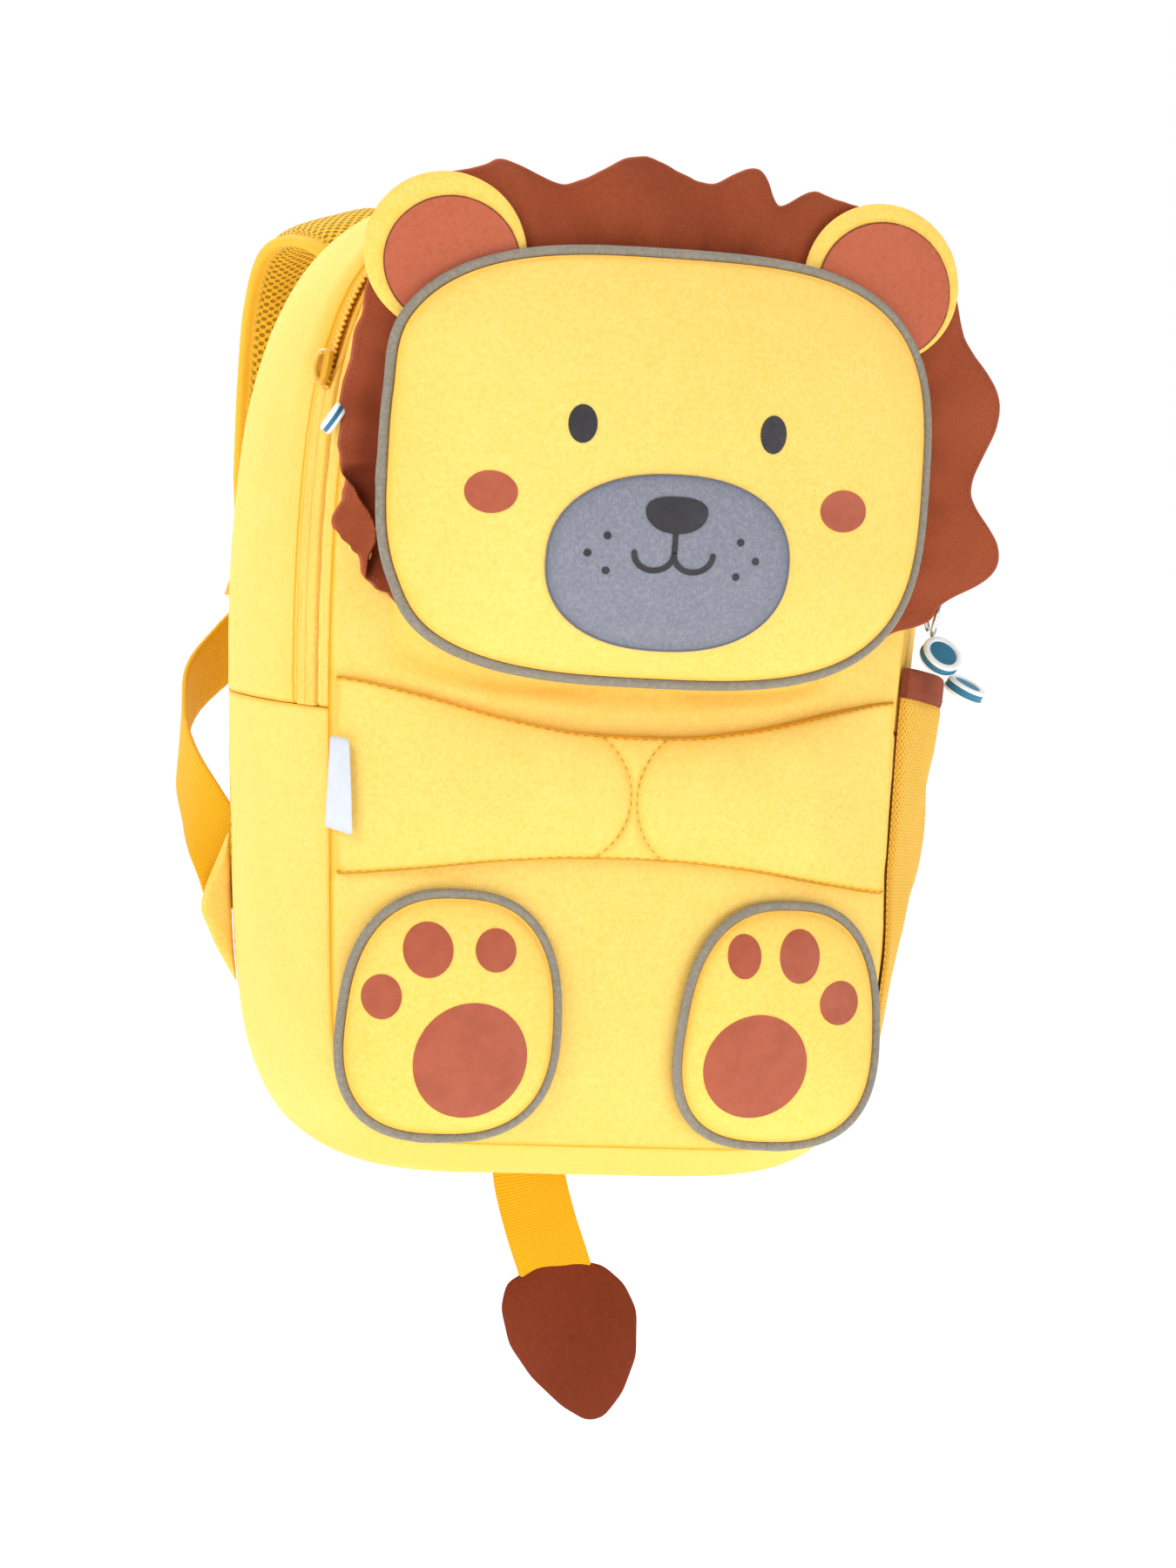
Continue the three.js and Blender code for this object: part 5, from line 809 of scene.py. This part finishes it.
P = Piece(); P.polar(np.concatenate([pts(q[..., 0], yc - hh, q[..., 1])[:, ::-1], pts(q[..., 0], yc + hh, q[..., 1])], 1), (c[0], float(label_y(c[0:1], c[1:2])[0]), c[1]), (c[0], float(label_y(c[0:1], c[1:2])[0]) + 0.8, c[1]), shade=np.broadcast_to(np.concatenate([(0.5 * s**14)[::-1], 0.3 + 0 * s])[None], (len(o), 2 * len(s))))
P.make("label_strip", MAT["white"], ("label",))

# side tabs that take the webbings
def band_rows_web():
    W = 20.0
    return [(-65, 106, 31, -0.12, 0.98, -0.05, W, 1.8), (-68.5, 105, 9, -0.3, 0.93, -0.1, W, 1.8), (-82, 98.5, -4, -0.65, 0.75, -0.1, W, 1.8), (-97, 83, -17, -0.9, 0.4, -0.1, W, 1.8),
            (-104.5, 60, -30, -1, 0, -0.1, W, 1.8), (-108, 36, -41, -0.97, -0.2, 0, W, 1.8), (-106, 15, -53, -0.75, -0.66, 0, W, 1.8), (-101.5, 4.4, -65, -0.2, -0.98, 0, W, 1.8), (-98.5, 2.2, -73, 0, -1, 0, W, 1.8), (-95.5, 1.9, -83, 0, -1, 0, W, 1.8)]
for side, sx in (("left", -1), ("right", 1)):
    root = [(side_x(Y_BACK, z) + 0.2, z) for z in (-107, -95, -82, -70, -58)]
    tri = np.array([(106.9, -75), (108.2, -80), (108.2, -84.5), (102.8, -95.4)] + root, float)
    o = resample(tri, 150, True)
    for _ in range(3): o = (np.roll(o, 1, 0) + 2 * o + np.roll(o, -1, 0)) / 4
    c = np.array([103.6, -82.0]); s = np.concatenate([[1, 0.985, 0.95, 0.9], np.linspace(0.82, 0.1, 9)]); q = c + (o[:, None] - c) * s[None, :, None]
    w = 1.6 * (1 - s**5) ** 0.5 + 0.15; noise = 0.15 * fbm(pts(q[..., 0] / 6, 0 * q[..., 0], q[..., 1] / 6), 141, 2)
    P = Piece(True); P.polar(np.concatenate([pts(sx * q[..., 0], -2.0 - w[None] + noise, q[..., 1])[:, ::-1], pts(sx * q[..., 0], -2.0 + w[None] + noise, q[..., 1])], 1), (sx * c[0], -3.7, c[1]), (sx * c[0], -0.3, c[1]),
                         shade=np.broadcast_to(np.concatenate([(0.25 * s**8)[::-1], 0.25 * s**8])[None], (len(o), 2 * len(s))))
    P.make(f"wing_tab_{side}_cloth", MAT["body"], (f"wing_tab_{side}",))

# ------------------------------------------------------------------ straps
STRAP = [(-52, 5.2, 100, 0, -1, 0.02, 40, 9), (-53, 6.8, 118, 0, -0.6, 0.3, 40, 9), (-59, 18, 132, -0.2, -0.35, 0.95, 40, 9), (-66, 40, 137.5, -0.3, 0, 0.95, 40, 9), (-69, 62, 131, -0.25, 0.5, 0.85, 40, 9.5),
         (-68, 82, 112, -0.15, 0.85, 0.5, 40, 10), (-66, 96, 84, -0.1, 0.97, 0.2, 39, 10), (-65, 103, 54, -0.1, 0.98, 0.05, 37, 9.5), (-65, 106, 28, -0.12, 0.98, -0.05, 31, 8.5)]
for side, sx in (("left", 1), ("right", -1)):
    c, T, N, B, w, h, L = band_frames(STRAP, 150, sx)
    k = np.array([-1, -0.97, -0.93, -0.88, -0.82, -0.79, -0.76, -0.7, -0.55, -0.38, -0.2, 0, 0.2, 0.38, 0.55, 0.7, 0.76, 0.79, 0.82, 0.88, 0.93, 0.97, 1.0])
    prof = 0.34 + 0.66 * np.sqrt(np.clip(1 - (np.abs(k) / 0.8).clip(0, 1) ** 5, 0, 1)); bind = (np.abs(k) > 0.775); prof = prof + 0.06 * bind; prof[[0, -1]] = 0.12; prof[[1, -2]] = 0.3
    endw = np.minimum(1, np.sqrt(np.clip(1 - ((6 - L).clip(0) / 6) ** 2, 0.03, 1)) * np.sqrt(np.clip(1 - ((6 - (L[-1] - L)).clip(0) / 6) ** 2, 0.03, 1)))
    ripple = 0.45 * n1(L / 11, 151 + sx)[:, None] * (1 - k**2)[None] + 0.25 * n1(L / 4.0, 155 + sx)[:, None] * np.exp(-((np.abs(k) - 0.76) / 0.1) ** 2)[None]
    X = lambda s: c[:, None] + B[:, None] * (k[None, :, None] * w[:, None, None]) + N[:, None] * ((s * (prof[None] * h[:, None] * endw[:, None] + ripple * endw[:, None]))[..., None])
    top, bot = X(1), X(-1); A_ = np.concatenate([top, bot[:, ::-1]], 1); nk = len(k)
    fm = np.zeros((len(L) - 1, 2 * nk), int); colk = np.concatenate([(k[:-1] + k[1:]) / 2, [1.0], ((k[:-1] + k[1:]) / 2)[::-1], [1.0]])
    fm[:, :nk - 1] = 0; fm[:, nk:2 * nk - 1] = 1; fm[:, np.abs(colk) > 0.775] = 2
    shd = 0.6 * np.exp(-((np.abs(k) - 0.772) / 0.012) ** 2); shd = np.concatenate([shd, shd[::-1]])[None] + np.zeros((len(L), 1))
    vk = np.concatenate([k * 19, 60 + (k * 19), [60 + 19.0]]); uv = np.stack(np.meshgrid(L, vk, indexing="ij"), -1)
    P = Piece(); P.grid(A_, uv=uv, cv=True, mat=fm, shade=np.clip(shd, 0, 0.9), caps=True)
    name = "left" if sx == 1 else "right"
    ob = P.make(f"shoulder_strap_{name}_pad", [MAT["air"], MAT["air"], MAT["strapbind"]], (f"shoulder_strap_{name}",), angle=60)
    P = Piece()
    for e in (-0.8, 0.8):
        for s_ in (1, -1):
            pr = np.interp(e, k, prof); line = c + B * (e * w)[:, None] + N * (s_ * pr * h)[:, None]; stitches(P, line[6:-6], (N * s_)[6:-6], pitch=3.0, length=2.1, r=0.26, sink=0.12)
    P.make(f"shoulder_strap_{name}_stitching", MAT["thr"], fix=False)
    P = Piece(True); webbing(P, band_rows_web(), 130, sx, wave=0.25, seed=161 + sx); P.make(f"webbing_{name}_band", MAT["web"], (f"webbing_{name}",))

# haul loop
LEG = [(-20, 1.6, 106, 0, 1, 0), (-20, 2.2, 115, 0, 1, -0.1), (-20.5, 7, 127, -0.3, 0.85, -0.4), (-21, 13, 137.5, -0.8, 0.5, -0.15), (-15, 17.5, 147.5, -0.7, 0.15, 0.7), (0, 19, 151.5, 0, 0.05, 1)]
HAUL = [(r[0], r[1], r[2], r[3], r[4], r[5], 20, 2) for r in LEG] + [(-r[0], r[1], r[2], -r[3], r[4], r[5], 20, 2) for r in LEG[:-1][::-1]]
P = Piece(); webbing(P, HAUL, 120, wave=0.15, seed=171); P.make("haul_loop_band", MAT["web"], ("haul_loop",))
P = Piece()
for sx in (-1, 1):
    b = np.array([(-27.5, 108.5), (-12.5, 108.5), (-12.5, 117.5), (-27.5, 117.5), (-27.5, 108.5)]) * [sx, 1]
    for a_, c_ in zip(b[:-1], b[1:]): l = np.linspace(a_, c_, 12); stitches(P, pts(l[:, 0], np.full(12, 2.75), l[:, 1]), (0, 1, 0), pitch=2.4, length=1.7, r=0.25)
P.make("haul_loop_stitching", MAT["thr"], fix=False)

# ------------------------------------------------------------------ tail
TAIL = [(4, -4.5, -154.1, 0, -1, 0, 24, 2.4), (4.4, -7, -166, 0, -1, 0, 24, 2.4), (9, -8, -182, 0, -1, 0, 24, 2.4), (15.4, -8, -198.4, 0, -1, 0, 24, 2.4), (16.0, -8, -201.0, 0, -1, 0, 24, 2.4)]
P = Piece(); webbing(P, TAIL, 60, wave=0.25, seed=181); P.make("tail_webbing_band", MAT["web"], ("tail_webbing",))
TIP = np.array([(-1, -202), (-2.5, -210), (1, -222), (9, -232.5), (20, -242), (28.5, -246.6), (34, -245.5), (40, -237), (43.8, -225), (43.2, -210), (38.5, -201.5), (31, -195.6), (22, -194.2), (9, -196)], float)
o = resample(TIP, 700, True)
for _ in range(140): o = (np.roll(o, 1, 0) + 2 * o + np.roll(o, -1, 0)) / 4
o = resample(offset2(o, 0.3), 240, True); c = np.array([21.0, -219.0]); s = np.concatenate([[1, 0.995, 0.985, 0.965, 0.94], np.linspace(0.9, 0.06, 20)]); q = c + (o[:, None] - c) * s[None, :, None]
w = 0.9 * np.sqrt(np.clip(1 - ((s - 0.955).clip(0) / 0.045) ** 2, 0, 1)) + 2.3 * (1 - s**3) ** 0.8; dimp = 0.3 * fbm(pts(q[..., 0] / 9, 0 * q[..., 0], q[..., 1] / 9), 191, 2)
bend = 1.2 * np.sin((q[..., 1] + 198) / 30)
P = Piece(); P.polar(np.concatenate([pts(q[..., 0], -8 - w[None] + dimp + bend, q[..., 1])[:, ::-1], pts(q[..., 0], -8 + w[None] + dimp + bend, q[..., 1])], 1), (c[0], -11.2, c[1]), (c[0], -4.8, c[1]))
tip = P.make("tail_tip_felt", MAT["felt2"], ("tail_tip",))

# ------------------------------------------------------------------ seams' stitches on the body
P = Piece(True)
for surf_, ys_, N_, y_at, r_ in ((gu_surf, gu_ys, gu_N, Y_BACK - 2.6, 0.24), (gl_surf, gl_ys, gl_N, Y_BACK - 2.6, 0.24)):
    j = int(np.argmin(np.abs(ys_ - y_at))); l = surf_[j]; n = N_[j]; stitches(P, l[4:-4], pts(n[:, 0], 0 * n[:, 0], n[:, 1])[4:-4], pitch=2.9, length=2.3, r=r_)
P.make("body_stitching", MAT["thr"], fix=False)

# ------------------------------------------------------------------ metal and tags
def on_side(sx, y, z, lift):
    P_ = lambda a, b: np.array([side_x(a, b), a, b]); ty = unit(P_(y + 3, z) - P_(y - 3, z)); tz = P_(y, z + 3) - P_(y, z - 3); n = unit(np.cross(ty, tz)); up = unit(np.cross(n, ty))
    return P_(y, z) + n * lift, n, ty, up
def placed(sx, y, z, lift, X):
    c, n, ty, up = on_side(sx, y, z, lift); Q = c + X[..., 0:1] * n + X[..., 1:2] * ty + X[..., 2:3] * up; Q = Q.copy(); Q[..., 0] *= sx; return Q
for side, sx, z in (("left", -1, 91.0), ("right", 1, 33.0)):
    P = Piece(sx == 1); n = 28; a = np.arange(n) / n * TAU
    body = np.stack([3.5 * np.sign(np.cos(a)) * np.abs(np.cos(a)) ** 0.6 * (1 + 0.18 * np.sin(a)), 5.6 * np.sign(np.sin(a)) * np.abs(np.sin(a)) ** 0.7], -1)
    hh = [(-1.4, 0.9), (-1.2, 0.98), (-0.8, 1), (0.1, 1), (0.5, 0.96), (0.75, 0.86)]
    X = np.array([[(x_, b[0] * k_, b[1] * k_) for b in body] for x_, k_ in hh])
    Q = placed(sx, -85, z, 2.9, X); P.polar(Q.transpose(1, 0, 2), placed(sx, -85, z, 2.9, np.array([[-1.4, 0, 0]]))[0], placed(sx, -85, z, 2.9, np.array([[0.85, 0, 0]]))[0], planar=(1, 2))
    t = np.linspace(0, math.pi, 14); tube(P, placed(sx, -85, z, 2.9, np.stack([0.7 + 1.6 * np.sin(t) ** 0.6, 0 * t, -3.4 * np.cos(t)], -1)), 0.75, up=(0, 1, 0))
    P.make(f"zip_slider_{side}_metal", MAT["gilt"], (f"zip_slider_{side}",))
# two short wire loops on the right, just under the mane
def wire(name, centre, ry, rz, r, lean, repl=()):
    c0, n0, ty0, up0 = on_side(1, -88, 25, 8); a = np.arange(44) / 44 * TAU; up = unit(up0 + n0 * lean)
    sq = lambda w: np.sign(w) * np.abs(w) ** 0.8
    Q = np.array(centre, float) + np.outer(sq(np.cos(a)) * ry, ty0) + np.outer(sq(np.sin(a)) * rz, up); P = Piece(); cord_loop(P, Q, unit(Q - Q.mean(0)), r, sides=12); P.make(name, MAT["metal"], repl)
wire("zip_ring_right_wire", (103.9, -88.0, 23.6), 3.2, 4.6, 0.72, 0.15, ("zip_ring_right",))
wire("zip_ring_right_inner_wire", (101.2, -86.0, 24.4), 2.4, 4.0, 0.6, -0.25)
def disc(name, centre, axis, repl, r=6.8, t=4.4):
    """round tag: a blue core between two white face layers, each with a recessed blue ring"""
    axis = unit(np.array(axis, float)); e1 = unit(np.cross(axis, (0.0, 0.3, 1.0))); e2 = np.cross(axis, e1); n = 64; a = np.arange(n) / n * TAU; h = t / 2
    half = [(r * 0.05, h - 0.5), (r * 0.5, h - 0.5), (r * 0.69, h - 0.5), (r * 0.715, h - 0.47), (r * 0.725, h - 0.15), (r * 0.745, h - 0.03), (r * 0.80, h), (r * 0.88, h - 0.01), (r * 0.94, h - 0.12), (r * 0.975, h - 0.4), (r * 0.985, h - 0.75), (r * 0.985, h - 1.1)]
    mid = [(r * 0.955, h - 1.18), (r * 0.955, 0)]; prof = half + mid + [(a_, -b_) for a_, b_ in mid[:-1][::-1]] + [(a_, -b_) for a_, b_ in half[::-1]]
    X = np.array([[centre + axis * q[1] + (e1 * math.cos(w_) + e2 * math.sin(w_)) * q[0] for q in prof] for w_ in a]); m = np.zeros(len(prof) - 1, int); m[2:11] = 1; m[-11:-2] = 1
    P = Piece(); P.polar(X, centre + axis * (h - 0.5), centre - axis * (h - 0.5), mat=np.broadcast_to(m[None], (n, len(m))), planar=(0, 1))
    return P.make(name, [MAT["rubber"], MAT["rubberw"]], repl, angle=40)
disc("zip_tag_left_disc", np.array([-96.6, -98.2, 76.0]), (-0.834, 0.134, 0.536), ("zip_tag_left",), r=5.0, t=3.6)
disc("zip_tag_right_disc", np.array([104.9, -92, 12.6]), (0.2, -0.719, 0.665), ("zip_tag_right",), r=6.8)
disc("zip_tag_right_lower_disc", np.array([114.3, -90, 2.6]), (0.34, -0.302, 0.891), ("zip_tag_right_lower",), r=6.6)
for side in ("left", "right"):
    o_ = NODES[f"adjuster_{side}"]; o_.data.materials.clear(); o_.data.materials.append(MAT["plastic"])
    b = o_.modifiers.new("soft_edges", "BEVEL"); b.width = 0.0009; b.segments = 3; b.limit_method = "ANGLE"; b.angle_limit = 30 * D2R; b.harden_normals = False
    o_.data.shade_smooth(); o_.data.set_sharp_from_angle(angle=40 * D2R)

# ------------------------------------------------------------------ floor, light, camera
fl = Nodes("floor_pale"); fc = fl.mixc(fl.ramp(fl.noise(1.5, 3), 0.3, 0.7, 0, 0.5), lin("f6f6f5"), lin("f2f2f1"))
floor_mat = fl.done(fc, 0.9, spec=0.02); fl.bsdf.inputs["Emission Color"].default_value = (1, 1, 1, 1); fl.bsdf.inputs["Emission Strength"].default_value = 0.56
bpy.ops.mesh.primitive_circle_add(vertices=96, radius=30, fill_type="NGON", location=(0, 0, -0.62)); floor = bpy.context.object; floor.name = "floor"; floor.data.materials.append(floor_mat); floor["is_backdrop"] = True
world = bpy.data.worlds.new("studio"); sc.world = world; world.use_nodes = True; nt = world.node_tree; nt.nodes.clear()
wo = nt.nodes.new("ShaderNodeOutputWorld"); bg1 = nt.nodes.new("ShaderNodeBackground"); bg2 = nt.nodes.new("ShaderNodeBackground"); mx = nt.nodes.new("ShaderNodeMixShader"); lp = nt.nodes.new("ShaderNodeLightPath")
bg1.inputs[0].default_value = (1, 1, 1, 1); bg1.inputs[1].default_value = 0.55; bg2.inputs[0].default_value = (1, 1, 1, 1); bg2.inputs[1].default_value = 1.0
nt.links.new(lp.outputs["Is Camera Ray"], mx.inputs[0]); nt.links.new(bg1.outputs[0], mx.inputs[1]); nt.links.new(bg2.outputs[0], mx.inputs[2]); nt.links.new(mx.outputs[0], wo.inputs[0])
def area(name, loc, target, size, power, color=(1, 1, 1)):
    l = bpy.data.lights.new(name, "AREA"); l.shape = "DISK"; l.size = size; l.energy = power; l.color = color; o = bpy.data.objects.new(name, l); sc.collection.objects.link(o)
    o.location = loc; o.rotation_euler = (Vector(target) - Vector(loc)).to_track_quat("-Z", "Y").to_euler(); return o
area("key", (-2.3, -1.3, 1.5), (0, -0.05, 0), 1.7, 38, (1.0, 0.99, 0.97)); area("fill", (1.8, -2.1, 0.0), (0, -0.05, 0), 1.8, 22, (0.985, 0.99, 1.0)); area("top", (0.2, 0.8, 2.4), (0, 0, 0), 1.6, 30)
area("back", (-0.6, 2.4, 1.2), (0, 0, 0), 1.6, 34)

th, ph, ro = 14.59 * D2R, 6.69 * D2R, 3.39 * D2R
FW = np.array([math.sin(th) * math.cos(ph), math.cos(th) * math.cos(ph), -math.sin(ph)]); RT = np.array([math.cos(th), -math.sin(th), 0]); UP = np.array([math.sin(th) * math.sin(ph), math.cos(th) * math.sin(ph), math.cos(ph)])
R_ = math.cos(ro) * RT + math.sin(ro) * UP; U_ = -math.sin(ro) * RT + math.cos(ro) * UP
AIM, ZOOM, FPX = (750.0, 751.0), 2.24, 2933.9
F2 = unit(FW + R_ * ((AIM[0] - 675) / FPX) - U_ * ((AIM[1] - 900) / FPX)); R2 = unit(R_ - F2 * (R_ @ F2)); U2 = np.cross(R2, F2)
cam = bpy.data.cameras.new("camera"); cam.sensor_width = 36; cam.sensor_fit = "AUTO"; cam.lens = 36 * FPX / 1800 * ZOOM; cam.clip_start, cam.clip_end = 0.05, 100
co = bpy.data.objects.new("camera", cam); sc.collection.objects.link(co)
co.matrix_world = Matrix([[R2[0], U2[0], -F2[0], -0.4919], [R2[1], U2[1], -F2[1], -1.7939], [R2[2], U2[2], -F2[2], 0.0822], [0, 0, 0, 1]]); sc.camera = co
sc.view_settings.view_transform = "Standard"; sc.view_settings.look = "None"; sc.view_settings.exposure = 0; sc.view_settings.gamma = 1

tri = sum(sum(max(0, len(p.vertices) - 2) for p in o.data.polygons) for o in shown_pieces() if o.type == "MESH")
print("TRIANGLES", tri)
{"cad": CAD_BOX, "visual": [list(map(float, c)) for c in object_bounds()]}
